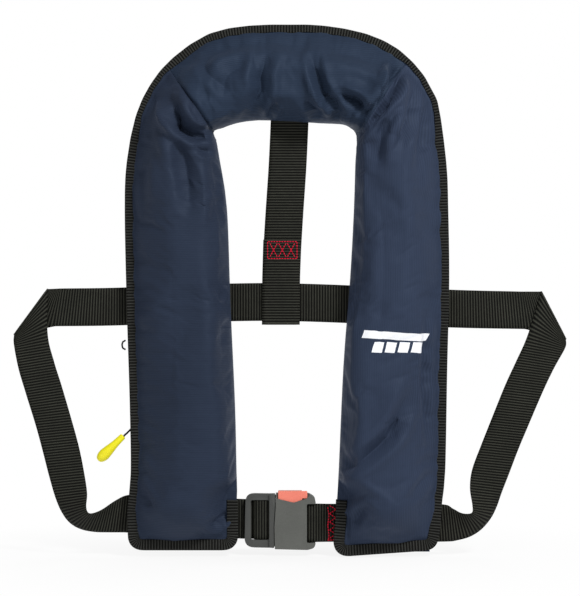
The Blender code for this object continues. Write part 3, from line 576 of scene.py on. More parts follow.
def webbing(name, stations, thickness=1.3, smooth=True, reach=0):
    """Ribbed webbing through stations that each hold the places of its two edges."""
    rows = edge_rows(stations)
    if smooth:
        rows = smooth_curve(rows)
    rows = running_mean(resample(rows, WEBBING_RIB / 4, web_middle), reach)
    one, across = rows[:, :3], rows[:, 3:] - rows[:, :3]
    middle = web_middle(rows)
    length = lengths_along(middle)
    width = np.linalg.norm(across, axis=1)
    lift = unit_rows(np.cross(np.gradient(middle, axis=0), across))
    rib = 0.5 + 0.5 * np.sin(2 * math.pi * length / WEBBING_RIB)
    shares = np.linspace(0.0, 1.0, WEBBING_SECTION)
    section = [(share, 1.0) for share in shares] + [(share, -1.0) for share in shares[::-1]]
    rings, uvs = [], []
    for share, side in section:
        from_edge = np.clip(min(share, 1 - share) * width / EDGE_ROUNDING, 0, 1)
        round_off = np.sqrt(1 - (1 - from_edge) ** 2) * (1 - EDGE_SHARE) + EDGE_SHARE
        height = (thickness / 2 - RIB_HEIGHT * (1 - rib)) * round_off
        rings.append(one + across * share + lift * (side * height)[:, None])
        uvs.append(np.stack([length, share * width], axis=1) * MM)
    return tube_object(name, np.stack(rings, axis=1), np.stack(uvs, axis=1), "belt_webbing")


CORD_SIDES = 10
CORD_STRANDS = 3
STRAND_RELIEF = 0.12                # depth of the grooves between strands, as a share of the radius
STRAND_TURN = 4.0                   # radii in one turn of the strands


def cord(name, points, radius, spacing):
    """Round twisted cord along a curve through points."""
    line = resample(smooth_curve(points), spacing)
    length = lengths_along(line)
    side, up = cross_axes(line, (0.31, 0.17, 0.93))
    rings, uvs = [], []
    for corner in range(CORD_SIDES):
        turn = 2 * math.pi * corner / CORD_SIDES
        strands = np.sin(CORD_STRANDS * turn + length * 2 * math.pi / (radius * STRAND_TURN))
        swell = radius * (1 + STRAND_RELIEF * strands)
        rings.append(line + (side * math.cos(turn) + up * math.sin(turn)) * swell[:, None])
        uvs.append(np.stack([length, np.full(len(length), turn * radius)], axis=1) * MM)
    return tube_object(name, np.stack(rings, axis=1), np.stack(uvs, axis=1), "cord_black")


STITCH_GAP = 0.5
STITCH_SIDES = 6
STITCH_TAPER = np.array([0.35, 0.85, 1.0, 1.0, 0.85, 0.35])


def stitch_rings(points, radius):
    """Rings of one stitch, which is pinched where it enters the cloth."""
    side, up = cross_axes(points, (0.02, 0.03, 1.0))
    taper = radius * STITCH_TAPER[:, None]
    return np.stack([points + (side * math.cos(turn) + up * math.sin(turn)) * taper
                     for turn in np.linspace(0, 2 * math.pi, STITCH_SIDES, endpoint=False)], axis=1)


def stitches(name, lines, look, slot, body, radius, stitch=2.6):
    """Rows of short raised stitches along (x, z, depth) lines, as one piece that rides on a body."""
    parts = []
    for line in lines:
        line = resample(line, 0.4)
        length = lengths_along(line)
        count = max(1, int(length[-1] / stitch))
        for index in range(count):
            low = length[-1] * index / count + STITCH_GAP / 2
            high = length[-1] * (index + 1) / count - STITCH_GAP / 2
            points = places_at(line, length, np.linspace(low, high, len(STITCH_TAPER)))
            parts.append(stitch_rings(points, radius))
    faces = []
    for number in range(len(parts)):
        faces += tube_faces(len(STITCH_TAPER), STITCH_SIDES, number * len(STITCH_TAPER) * STITCH_SIDES)
    places = np.concatenate([part.reshape(-1, 3) for part in parts])
    obj = make_object(name, places, faces, places[:, :2] * MM, look)
    face_outward(obj)
    tie(obj, slot, body=body)


SPLIT_CORNERS = 2e-6                # the frame's corners are split by face; closer ones are merged, in metres
BEND_STEP = 6.0                     # height of the slices cut across a stiff piece that rides on a flap


def cad_mesh(node):
    """Bmesh of a CAD node with its split corners merged."""
    mesh = bmesh.new()
    mesh.from_mesh(frame["nodes"][node].data)
    bmesh.ops.remove_doubles(mesh, verts=mesh.verts, dist=SPLIT_CORNERS)
    return mesh


def polished(node, bevel, look=None, angle=32.0):
    """Copy of a CAD node with softened edges, in place of the plain solid."""
    mesh = cad_mesh(node)
    body = body_of(node)
    on_flap = body.endswith("_flap")
    if on_flap:
        low, high = (height * MM for height in span(node)[1])
        for level in np.arange(low, high, BEND_STEP * MM)[1:]:
            bmesh.ops.bisect_plane(mesh, geom=mesh.verts[:] + mesh.edges[:] + mesh.faces[:],
                                   plane_co=(0.0, 0.0, level), plane_no=(0.0, 0.0, 1.0))
    obj = solid_object(node + "_skin", mesh)
    slot = next(part["material_slot"] for part in frame["record"]["subparts"] if part["node"] == node)
    obj.data.materials.append(LOOKS[look or slot])
    obj.data.shade_smooth()
    obj.data.set_sharp_from_angle(angle=math.radians(angle))
    if bevel:
        rounding = obj.modifiers.new("soft_edges", "BEVEL")
        rounding.width = bevel * MM
        rounding.segments = 3
        rounding.limit_method = "ANGLE"
        rounding.angle_limit = math.radians(angle)
        rounding.harden_normals = True
    tie(obj, slot, node, body=None if on_flap else body)
    if on_flap:
        flap_blend(obj, body.split("_")[0])
    return obj


# ---------------------------------------------------------------- outline from the frame

def rear_outline(node):
    """Boundary of a CAD node's rearmost flat face as (x, z) places in millimetres, in order."""
    mesh = cad_mesh(node)
    rear = max(vertex.co.y for vertex in mesh.verts)
    flat = 0.01 * MM
    faces = {face for face in mesh.faces if all(rear - vertex.co.y < flat for vertex in face.verts)}
    follow = {}
    for face in faces:
        for loop in face.loops:
            if sum(other in faces for other in loop.edge.link_faces) == 1:
                follow[loop.vert] = loop.link_loop_next.vert
    start = min(follow, key=lambda vertex: vertex.co[:])
    line, vertex = [start], follow[start]
    while vertex is not start:
        line.append(vertex)
        vertex = follow[vertex]
    places = np.array([(vertex.co.x / MM, vertex.co.z / MM) for vertex in line])
    mesh.free()
    return places


def between(loop, start, stop, step):
    """Places of a closed loop from one index to another, walking by step."""
    places, index = [], start
    while index != stop:
        places.append(loop[index])
        index = (index + step) % len(loop)
    places.append(loop[stop])
    return np.array(places)


def corner_index(loop, heading, side, below=np.inf):
    """Index of the loop's place furthest along a heading, on one side (-1 or 1) and below a height."""
    reach = loop @ np.array(heading, float)
    reach[(np.sign(loop[:, 0]) != side) | (loop[:, 1] >= below)] = -np.inf
    return int(np.argmax(reach))


LOOP = rear_outline("cover_back_panel")
LOOP = resample(np.vstack([LOOP, LOOP[:1]]), 1.0)[:-1]
OUTER_RIGHT = corner_index(LOOP, (-1.0, -1.0), -1)
OUTER_LEFT = corner_index(LOOP, (1.0, -1.0), 1)
INNER_RIGHT = corner_index(LOOP, (1.0, -1.0), -1, below=40.0)
INNER_LEFT = corner_index(LOOP, (-1.0, -1.0), 1, below=40.0)
TOP = int(np.argmax(LOOP[:, 1]))
# which way round leads from the right lobe's outer corner over the top
STEP = 1 if (TOP - OUTER_RIGHT) % len(LOOP) < (INNER_RIGHT - OUTER_RIGHT) % len(LOOP) else -1
OUTER = between(LOOP, OUTER_RIGHT, OUTER_LEFT, STEP)
INNER = between(LOOP, INNER_RIGHT, INNER_LEFT, -STEP)
BOTTOM_RIGHT = between(LOOP, OUTER_RIGHT, INNER_RIGHT, -STEP)
BOTTOM_LEFT = between(LOOP, OUTER_LEFT, INNER_LEFT, STEP)

# ends of the two shoulder seams on the outer and inner edges
SEAM_RIGHT = ((-119.0, 486.0), (-76.4, 424.0))
SEAM_LEFT = ((114.0, 491.0), (67.0, 418.0))
HEM_TOP = 57.0                      # the bound part of each lobe's inner edge ends here


def nearest(line, place):
    """Index of a line's place nearest to another place."""
    return int(np.argmin(np.linalg.norm(line - np.array(place), axis=1)))


OUTER_CUTS = [nearest(OUTER, seam[0]) for seam in (SEAM_RIGHT, SEAM_LEFT)]
INNER_CUTS = [nearest(INNER, seam[1]) for seam in (SEAM_RIGHT, SEAM_LEFT)]
SEAMS = [np.array([OUTER[outer], INNER[inner]]) for outer, inner in zip(OUTER_CUTS, INNER_CUTS)]

# each panel's outer, inner, low and high edges
RIGHT_EDGES = (OUTER[:OUTER_CUTS[0] + 1], INNER[:INNER_CUTS[0] + 1], BOTTOM_RIGHT, SEAMS[0])
COLLAR_EDGES = (OUTER[OUTER_CUTS[0]:OUTER_CUTS[1] + 1], INNER[INNER_CUTS[0]:INNER_CUTS[1] + 1], *SEAMS)
LEFT_EDGES = (OUTER[OUTER_CUTS[1]:][::-1], INNER[INNER_CUTS[1]:][::-1], BOTTOM_LEFT, SEAMS[1])

# coarser edges, for measuring how far places are from them
OUTER_RULE = resample(OUTER, 4.0)
INNER_RULE = resample(INNER, 4.0)


def gap_to(points, *lines):
    """Distance from (x, z) points to the nearest of some lines."""
    return np.min([distance_to(points, line)[0] for line in lines], axis=0)


def patch(outer, inner, low, high, rows, columns, power=1.0):
    """Grid of (x, z) places between four edge lines (a Coons patch)."""
    outer, inner = fitted(outer, rows), fitted(inner, rows)
    low, high = fitted(low, columns, power), fitted(high, columns, power)
    up = np.linspace(0.0, 1.0, rows)[:, None, None]
    over = (1 - (1 - np.linspace(0.0, 1.0, columns)) ** power)[None, :, None]
    sides = (1 - over) * outer[:, None] + over * inner[:, None]
    ends = (1 - up) * low[None] + up * high[None]
    corners = ((1 - up) * ((1 - over) * low[0] + over * low[-1])
               + up * ((1 - over) * high[0] + over * high[-1]))
    return sides + ends - corners


# ---------------------------------------------------------------- front cover cloth

BAND_DEPTH = 6.6                    # the cover's flat edge band inside the binding
BAND_WIDTH = 8.0
SEAM_DEPTH = 2.4                    # depth of the seam along the opening, above the bound hem
LOBE_CREST = 39.0                   # how far the cloth stands out over the bladder
COLLAR_CREST = 33.0
CREST_CHANGE = 30.0                 # the collar's crest grows into the lobes' over this distance
OUTER_RISE = 40.0                   # distances over which the cloth climbs from each edge
INNER_RISE = 27.0
BOTTOM_RISE = 44.0
BOTTOM_BAND = 10.0
HEM_BAND = 12.0
EDGE_ROUNDNESS = 0.9                # below 1 the cloth climbs more steeply at an edge
HEM_FADE = (HEM_TOP + 2.0, HEM_TOP + 26.0)
PUCKER_HEIGHT = 0.9                 # gathers along the binding
PUCKER_SIZE = 9.0
PUCKER_REACH = 10.0
WAVE_HEIGHT = 1.6                   # slow unevenness of the whole cover
WAVE_SIZE = 38.0
SEAM_GROOVES = ((2.6, 2.6), (1.6, 9.0))     # depth and half width of a seam's crease and of its hollow
PANEL_SPACING = 2.4
PANEL_COLUMNS = 46
EDGE_CROWDING = 1.45                # columns stand closer together toward the opening
FAR = 200.0                         # stands for "no bottom edge" on the collar
OUTER_LENGTH = 1550.0               # rough length of the outer edge
SETTLE_LIMIT = 5.0                  # the cloth run may move the cloth this far
CLOTH_FRAMES = 18
CLOTH_RUN = {
    "quality": 4, "mass": 0.25, "tension_stiffness": 18.0, "compression_stiffness": 12.0,
    "shear_stiffness": 6.0, "bending_stiffness": 0.35, "uniform_pressure_force": 1.6, "shrink_min": -0.022,
    "vertex_group_mass": "held"}

# folds: places (x, z), half width, depth before FOLD_STRENGTH (negative stands proud)
RIGHT_FOLDS = (
    ([(-117, 449), (-110, 432), (-99, 421), (-84, 418)], 5.5, 9.5),
    ([(-120, 441), (-112, 424), (-100, 412)], 6.0, -2.5),
    ([(-96, 409), (-86, 404), (-76, 404)], 4.0, 3.0),
    ([(-134, 462), (-126, 432), (-121, 398)], 7.0, -2.2),
    ([(-116, 428), (-103, 392), (-97, 348)], 7.5, 3.4),
    ([(-108, 412), (-90, 382), (-84, 326)], 8.0, -2.6),
    ([(-146, 430), (-149, 390), (-146, 340)], 6.0, 2.0),
    ([(-152, 68), (-138, 52)], 4.5, 2.6),
    ([(-77, 30), (-63, 43)], 4.0, 3.0),
    ([(-155, 94), (-141, 83)], 4.0, 2.0),
    ([(-70, 300), (-66, 230), (-66, 170)], 9.0, 1.6),
    ([(-120, 320), (-116, 220), (-122, 130)], 16.0, 1.6),
)
COLLAR_FOLDS = (
    ([(-24, 498), (-29, 478), (-29, 462), (-38, 442)], 6.5, 5.6),
    ([(-44, 490), (-62, 478), (-66, 456)], 7.0, 2.4),
    ([(-80, 500), (-84, 484), (-60, 462)], 5.0, 2.0),
    ([(-14, 452), (-22, 438)], 3.6, 3.0),
    ([(23, 493), (28, 471), (36, 456), (44, 448), (50, 433)], 4.6, 5.0),
    ([(16, 478), (26, 456)], 7.0, -2.4),
    ([(48, 459), (64, 453), (74, 444), (79, 436)], 4.0, 4.6),
    ([(52, 466), (70, 460), (84, 448)], 6.0, -2.4),
    ([(15, 452), (31, 438)], 4.0, 3.0),
    ([(112, 490), (103, 478), (101, 464), (79, 437), (68, 420)], 5.0, 6.5),
    ([(92, 490), (90, 468), (72, 440)], 7.0, -2.6),
    ([(46, 437), (66, 431)], 7.0, -3.6),
    ([(-104, 492), (-70, 506), (-30, 512), (10, 508)], 6.0, 1.6),
    ([(-88, 476), (-80, 450)], 8.0, 1.8),
    ([(40, 505), (70, 498), (92, 488)], 7.0, 2.0),
)
LEFT_FOLDS = (
    ([(127, 470), (119, 446), (113, 424), (101, 402)], 5.0, 4.0),
    ([(136, 456), (131, 424), (128, 380)], 6.0, 3.0),
    ([(120, 462), (110, 432), (96, 396)], 6.5, -3.0),
    ([(132, 466), (126, 430), (121, 396)], 5.0, -2.2),
    ([(96, 440), (88, 420), (86, 392)], 6.0, 2.6),
    ([(106, 480), (92, 452), (80, 424)], 5.0, 3.0),
    ([(115, 160), (101, 126), (78, 104), (55, 89)], 6.0, 4.4),
    ([(108, 168), (88, 136), (62, 116)], 8.0, -2.2),
    ([(136, 242), (134, 176), (138, 112)], 3.6, 3.0),
    ([(84, 384), (92, 300), (86, 200)], 15.0, 1.8),
    ([(60, 366), (66, 300), (60, 236)], 8.0, 1.6),
    ([(140, 84), (122, 64)], 4.5, 2.4),
    ([(62, 34), (72, 50)], 4.5, 2.4),
)
FOLDS = RIGHT_FOLDS + COLLAR_FOLDS + LEFT_FOLDS
FOLD_STRENGTH = 1.9
RIDGE_SHARE = 0.45                  # height of the ridges beside a valley
PROUD_START = CAD_BOX[0].y - 3.0 * MM       # ridges beyond this are held back smoothly
PROUD_LIMIT = 5.0 * MM
COLLAR_MIDDLE = np.array([0.0, 500.0])


def fold_depth(points):
    """Sum of the folds' valleys and ridges at (x, z) places; each fades out at its ends."""
    total = np.zeros(len(points))
    for line, width, depth in FOLDS:
        gap, along = distance_to(points, smooth_curve(line, 6))
        fade = np.sin(math.pi * np.clip(along * 0.94 + 0.03, 0, 1)) ** 0.6
        valley = np.exp(-(gap / width) ** 1.15)
        ridges = RIDGE_SHARE * np.exp(-((gap - 2.0 * width) / (0.9 * width)) ** 2)
        total += FOLD_STRENGTH * depth * fade * (valley - ridges)
    return total


def above_seams(points):
    """True where (x, z) places lie on the collar's side of both shoulder seams."""
    above = np.ones(len(points), bool)
    for outer_end, inner_end in SEAMS:
        normal = np.array([outer_end[1] - inner_end[1], inner_end[0] - outer_end[0]])
        above &= ((points - outer_end) @ normal) * ((COLLAR_MIDDLE - outer_end) @ normal) > 0
    return above


def cover_depths(points, bottom_gap):
    """Depth of the cover cloth over the folded bladder at (x, z) places."""
    outer_gap, outer_along = distance_to(points, OUTER_RULE)
    inner_gap = gap_to(points, INNER_RULE)
    hem = 1 - smoothstep(points[:, 1], *HEM_FADE)
    collar = gap_to(points, *SEAMS) * above_seams(points)
    crest = COLLAR_CREST + (LOBE_CREST - COLLAR_CREST) * np.exp(-(collar / CREST_CHANGE) ** 2)
    start = SEAM_DEPTH + (BAND_DEPTH - SEAM_DEPTH) * hem
    base = start + (BAND_DEPTH - start) * np.clip(inner_gap / BAND_WIDTH, 0, 1)
    outer_rise = np.clip((outer_gap - BAND_WIDTH) / OUTER_RISE, 0, 1)
    inner_rise = np.clip((inner_gap - HEM_BAND * hem) / (INNER_RISE + HEM_BAND * hem), 0, 1)
    bottom_rise = np.clip((bottom_gap - BOTTOM_BAND) / BOTTOM_RISE, 0, 1)
    swell = np.sin(math.pi / 2 * outer_rise) ** EDGE_ROUNDNESS
    swell *= np.sqrt(np.clip(1 - (1 - inner_rise) ** 2.2, 0, 1)) ** (1 + 0.6 * hem)
    swell *= np.sin(math.pi / 2 * bottom_rise) ** EDGE_ROUNDNESS
    edge_places = np.stack([outer_along * OUTER_LENGTH, outer_gap * 0.35], axis=1)
    pucker = PUCKER_HEIGHT * wander(edge_places, PUCKER_SIZE, 3.0)
    depth = base + crest * swell
    depth += pucker * np.exp(-((outer_gap - BAND_WIDTH) / PUCKER_REACH) ** 2)
    for seam in SEAMS:
        for groove, half_width in SEAM_GROOVES:
            depth -= groove * np.exp(-(gap_to(points, seam) / half_width) ** 2) * np.clip(swell * 3, 0, 1)
    wave = wander(points * np.array([1.0, 0.45]), WAVE_SIZE, 6.0)
    depth += WAVE_HEIGHT * wave * np.clip(swell * 1.6, 0, 1)
    return -depth


def cloth_moves(obj, frames, chosen):
    """How far each vertex moves when the object runs as pressurised cloth without gravity."""
    cloth = obj.modifiers.new("cloth", "CLOTH")
    cloth.settings.use_pressure = True
    cloth.settings.effector_weights.gravity = 0.0
    for name, value in chosen.items():
        setattr(cloth.settings, name, value)
    cloth.point_cache.frame_start, cloth.point_cache.frame_end = 1, frames
    scene = bpy.context.scene
    for number in range(1, frames + 1):
        scene.frame_set(number)
    settled = obj.evaluated_get(bpy.context.evaluated_depsgraph_get()).to_mesh()
    after = np.array([vertex.co for vertex in settled.vertices])
    obj.modifiers.remove(cloth)
    scene.frame_set(1)
    return after - vertex_vectors(obj)


def cloth_settle(obj, held):
    """Runs a panel as cloth held along its edges and keeps at most SETTLE_LIMIT of the movement."""
    group = obj.vertex_groups.new(name="held")
    group.add(np.flatnonzero(held).tolist(), 1.0, "REPLACE")
    move = cloth_moves(obj, CLOTH_FRAMES, CLOTH_RUN)
    size = np.linalg.norm(move, axis=1)
    limit = SETTLE_LIMIT * MM
    move *= (np.tanh(size / limit) * limit / np.maximum(size, 1e-9))[:, None]
    move_vertices(obj, vertex_vectors(obj) + move)
    obj.vertex_groups.clear()


def press_folds(obj):
    """Creases of the photographed cloth, pressed in along the settled surface's normals."""
    places = vertex_vectors(obj)
    flat = places[:, [0, 2]] / MM
    depth = fold_depth(flat)
    depth *= smoothstep(gap_to(flat, OUTER_RULE), BAND_WIDTH - 2.0, BAND_WIDTH + 14.0)
    depth *= smoothstep(gap_to(flat, *SEAMS), 0.0, 3.0)
    depth *= smoothstep(gap_to(flat, INNER_RULE), -2.0, 8.0)
    places -= vertex_vectors(obj, "normal") * (depth * MM)[:, None]
    proud = np.maximum(PROUD_START - places[:, 1], 0.0)
    places[:, 1] += proud - PROUD_LIMIT * np.tanh(proud / PROUD_LIMIT)
    move_vertices(obj, places)


def cover_panel(name, look, edges, bottom, flip):
    """One front cover panel: shaped over the bladder, settled as cloth and given its thickness."""
    rows, columns = int(len(edges[0]) / PANEL_SPACING), PANEL_COLUMNS
    points = patch(*edges, rows, columns, EDGE_CROWDING).reshape(-1, 2)
    bottom_gap = np.full(len(points), FAR) if bottom is None else gap_to(points, bottom)
    places = np.concatenate([points, cover_depths(points, bottom_gap)[:, None]], axis=1)
    obj = make_object(name, places, grid_faces(rows, columns, flip), points * MM, look)
    edge = np.zeros((rows, columns), bool)
    edge[0] = edge[-1] = True
    edge[:, :1] = edge[:, -2:] = True
    held = edge.reshape(-1) | (gap_to(points, OUTER_RULE) < BAND_WIDTH) | (bottom_gap < BOTTOM_BAND)
    held |= (gap_to(points, INNER_RULE) < HEM_BAND) & (points[:, 1] < HEM_TOP + 4.0)
    cloth_settle(obj, held)
    subdivide(obj)
    press_folds(obj)
    obj.data.materials.append(LOOKS["cover_cloth"])
    thicken(obj, 0.7).material_offset = 1       # the print is on the outside only
    return obj


right_panel = cover_panel("cover_right_panel", "cover_right", RIGHT_EDGES, BOTTOM_RIGHT, False)
collar_panel = cover_panel("cover_collar_panel", "cover_collar", COLLAR_EDGES, None, False)
left_panel = cover_panel("cover_left_panel", "cover_left", LEFT_EDGES, BOTTOM_LEFT, True)
tie(right_panel, "cover_cloth", "cover_front_right")
tie(collar_panel, "cover_cloth", "cover_collar_front", body="jacket")
tie(left_panel, "cover_cloth", "cover_front_left")
flap_blend(right_panel, "right")
flap_blend(left_panel, "left")

# ---------------------------------------------------------------- back panel

BACK_COLUMNS = 20
BACK_SPACING = 5.0
BACK_CLEARANCE = 0.3                # the cloth lies just in front of the panel's rear face
BACK_TUCK = 0.25                    # and a little further in where the binding covers it


def back_panel():
    """The back panel: one cloth shell in three patches between the outline's edges."""
    places, faces = [], []
    for edges, flip in ((RIGHT_EDGES, True), (COLLAR_EDGES, True), (LEFT_EDGES, False)):
        rows = int(len(edges[0]) / BACK_SPACING)
        points = patch(*edges, rows, BACK_COLUMNS).reshape(-1, 2)
        tucked = 1 - smoothstep(gap_to(points, OUTER_RULE), BAND_WIDTH, 2 * BAND_WIDTH)
        depth = wander(points, 30.0, 9.0) * 0.3 * (1 - tucked) - BACK_CLEARANCE - BACK_TUCK * tucked
        base = sum(len(part) for part in places)
        places.append(np.concatenate([points, depth[:, None]], axis=1))
        faces += [tuple(base + corner for corner in face) for face in grid_faces(rows, BACK_COLUMNS, flip)]
    places = np.concatenate(places)
    obj = make_object("back_panel_cloth", places, faces, places[:, :2] * MM, "cover_cloth")
    mesh = bmesh.new()
    mesh.from_mesh(obj.data)
    bmesh.ops.remove_doubles(mesh, verts=mesh.verts, dist=0.3 * MM)
    mesh.to_mesh(obj.data)
    mesh.free()
    thicken(obj, 1.1)
    tie(obj, "cover_cloth", "cover_back_panel", body="jacket")


back_panel()

# ---------------------------------------------------------------- binding

BINDING_RIB = 2.9                   # pitch of the tape's ribs
BINDING_WIDTH = 10.8
BINDING_RELIEF = 0.4                # depth of the grooves between ribs
EDGE_INSET = 0.9                    # how far the tape's fold stands inside the outline
FOLD_BULGE = 0.24                   # how far the tape's fold stands out beyond its faces' edge
FRONT_FACES = (-8.0, -5.0)          # depths of the tape's two faces
BACK_FACES = (-2.4, 0.8)
# where the front binding is pulled narrower and wavy: centre, reach and share of the width lost
NARROW_BINDING = (((-142.0, 462.0), 52.0, 0.48), ((132.0, 466.0), 52.0, 0.52), ((-50.0, 524.0), 90.0, 0.28),
                  ((50.0, 524.0), 70.0, 0.28))


def bound_edge():
    """The bound edge: up the right hem's inside, round the outside and down to the left hem."""
    right_hem = INNER[:int(np.argmax(INNER[:, 1] > HEM_TOP))][::-1]
    left_hem = INNER[::-1][:int(np.argmax(INNER[::-1, 1] > HEM_TOP))]
    line = np.vstack([right_hem, BOTTOM_RIGHT[::-1][1:], OUTER[1:], BOTTOM_LEFT[1:], left_hem[1:]])
    return running_mean(resample(line, BINDING_RIB / 4), 6)


BOUND = bound_edge()
BOUND_HEADING = np.gradient(BOUND, axis=0)
BOUND_NORMAL = unit_rows(np.stack([BOUND_HEADING[:, 1], -BOUND_HEADING[:, 0]], axis=1))
BOUND_LENGTH = np.arange(len(BOUND)) * BINDING_RIB / 4


def binding_section():
    """Places round the folded tape: share of its width inward, and -1 (front) to 1 (rear)."""
    turns = np.radians(np.linspace(-60, 60, 5))
    shares = (0.1, 0.22, 0.45, 0.7, 0.9, 1.0)
    return ([(share, -1.0) for share in shares[::-1]]
            + [(-math.cos(turn), math.sin(turn)) for turn in turns]
            + [(share, 1.0) for share in shares])


def binding(name, node, first, last, faces, wavy):
    """Ribbed tape folded over the edge between two places of the bound edge."""
    front, rear = faces
    picked = slice(first, last + 1)
    edge, normal, length = BOUND[picked], BOUND_NORMAL[picked], BOUND_LENGTH[picked]
    rib = 0.5 + 0.5 * np.sin(2 * math.pi * length / BINDING_RIB)
    narrowed = np.zeros(len(edge))
    for centre, reach, lost in NARROW_BINDING:
        gap = np.linalg.norm(edge - np.array(centre), axis=1)
        narrowed = np.maximum(narrowed, wavy * lost * np.exp(-(gap / reach) ** 4))
    wave = wander(np.stack([length, np.zeros(len(length))], axis=1), 16.0, 4.0)
    width = BINDING_WIDTH * (1 - narrowed) + wave * (0.35 + 2.6 * narrowed)
    middle = (rear + front) / 2 + 1.6 * wave * narrowed
    rings, uvs = [], []
    for share, face in binding_section():
        across = share * width if share > 0 else np.full(len(edge), share * FOLD_BULGE)
        height = ((rear - front) / 2 - BINDING_RELIEF * (1 - rib)) * face
        if share >= 0.9:
            height *= 0.9
        flat = edge + normal * (across - EDGE_INSET)[:, None]
        rings.append(np.concatenate([flat, (middle + height)[:, None]], axis=1))
        uvs.append(np.stack([length, across + 20.0 * (face > 0)], axis=1) * MM)
    obj = tube_object(name, np.stack(rings, axis=1), np.stack(uvs, axis=1), "binding_tape")
    tie(obj, "binding_tape", node)
    return obj


right_cut, left_cut = nearest(BOUND, SEAM_RIGHT[0]), nearest(BOUND, SEAM_LEFT[0])
bound_end = len(BOUND) - 1
flap_blend(binding("binding_right_lobe", "binding_front_right", 0, right_cut, FRONT_FACES, 1.0), "right")
flap_blend(binding("binding_left_lobe", "binding_front_left", left_cut, bound_end, FRONT_FACES, 1.0), "left")
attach(binding("binding_collar", "collar_binding", right_cut, left_cut, FRONT_FACES, 1.0), "jacket")
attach(binding("binding_back_panel", "back_panel_binding", 0, bound_end, BACK_FACES, 0.0), "jacket")

# ---------------------------------------------------------------- waist belt

BELT_TIP = span("rear_belt")[0][1]
REAR_DEPTH = 4.0
SIDE_DEPTH = 1.6
HALF_BELT = 19.0
CORNER_OUTWARD = np.array([0.78, 0.62])     # the way the left folded corner bulges; the right one mirrors it
CORNER_BULGE = 1.2


def folded_corner(outer_tip, inner_tip, outward):
    """Stations of a belt folded over a diagonal edge, from the rear layer to the front one."""
    stations = []
    for turn in np.linspace(0, math.pi, 7):
        push = CORNER_BULGE * math.sin(turn)
        depth = (REAR_DEPTH + SIDE_DEPTH) / 2 + (REAR_DEPTH - SIDE_DEPTH) / 2 * math.cos(turn)
        stations.append(tuple((x + outward[0] * push, z + outward[1] * push, depth)
                              for x, z in (outer_tip, inner_tip)))
    return stations


RIGHT_FOLD = ((-BELT_TIP + 1.2, 221.0), (-243.0, 267.0))
LEFT_FOLD = ((BELT_TIP - 1.2, 216.5), (252.0, 264.5))
REAR_STATIONS = [
    ((-236.0, 229.6, 4.0), (-230.0, 267.6, 4.0)), ((-170.0, 230.5, 4.0), (-170.0, 268.5, 4.0)),
    ((-60.0, 234.6, 4.0), (-60.0, 272.6, 4.0)), ((20.0, 234.2, 4.0), (20.0, 272.2, 4.0)),
    ((160.0, 228.4, 4.0), (160.0, 266.4, 4.0)), ((236.0, 226.8, 4.0), (232.0, 264.5, 4.0))]
RIGHT_DOWN = [
    ((-277.0, 212.0, 1.5), (-243.0, 222.0, 1.5)), ((-272.5, 188.0, 1.6), (-236.5, 194.0, 1.6)),
    ((-265.5, 164.0, 1.8), (-229.0, 170.0, 1.8)), ((-255.0, 130.0, 2.0), (-218.5, 134.0, 2.0)),
    ((-248.0, 104.0, 2.5), (-211.5, 108.0, 2.0)), ((-242.0, 80.0, 3.6), (-206.5, 84.0, 0.4)),
    ((-236.0, 58.0, 7.2), (-203.0, 63.0, -4.4)), ((-230.0, 43.0, 10.0), (-203.5, 51.0, -9.0)),
    ((-222.0, 32.0, 10.8), (-202.0, 44.5, -10.6)), ((-211.0, 25.5, 10.4), (-197.5, 43.0, -9.0)),
    ((-197.0, 22.8, 8.4), (-188.0, 46.5, -4.4)), ((-181.0, 22.6, 5.4), (-175.0, 55.0, 1.6)),
    ((-165.0, 22.6, 4.2), (-162.0, 60.4, 4.0)), ((-140.0, 21.5, 4.0), (-140.0, 59.5, 4.0))]
LEFT_DOWN = [
    ((276.0, 208.0, 1.5), (238.0, 220.0, 1.5)), ((265.0, 188.0, 1.6), (226.5, 194.0, 1.6)),
    ((254.0, 165.0, 1.8), (215.5, 170.0, 1.8)), ((239.0, 130.0, 2.0), (201.0, 134.0, 2.0)),
    ((229.0, 106.0, 2.5), (191.5, 110.0, 2.0)), ((220.0, 82.0, 3.8), (182.5, 86.0, 0.2)),
    ((213.0, 63.0, 7.4), (180.0, 68.0, -4.4)), ((208.0, 48.0, 10.2), (182.0, 52.0, -9.2)),
    ((202.0, 36.0, 10.9), (182.0, 44.5, -10.8)), ((192.5, 25.0, 10.6), (178.0, 42.5, -9.0)),
    ((181.0, 18.0, 8.4), (171.0, 43.0, -3.6)), ((168.0, 14.6, 5.6), (163.0, 47.0, 1.8)),
    ((155.0, 13.4, 4.2), (152.0, 51.0, 4.0))]
BAR_TURN = [(100.0, 4.0), (50.0, 4.0), (38.0, 3.9), (29.0, 2.3), (22.0, 0.6), (18.0, 0.8), (16.2, 2.2),
            (15.8, 5.0), (16.2, 7.9), (18.0, 9.3), (22.0, 9.6), (30.0, 8.5), (38.0, 6.6), (47.0, 6.5)]
LEFT_BELT_Z = 32.25


def level_stations(centres, half=HALF_BELT):
    """Edge places of webbing that runs sideways through centres."""
    return [((x, z - half, depth), (x, z + half, depth)) for x, z, depth in centres]


def upright_stations(centres):
    """Edge places of webbing that runs up and down through centres."""
    return [((x - HALF_BELT, z, depth), (x + HALF_BELT, z, depth)) for x, z, depth in centres]


def smooth_stations(stations):
    """The stations with nine more between each two."""
    return [(row[:3], row[3:]) for row in smooth_curve(edge_rows(stations), 10)]


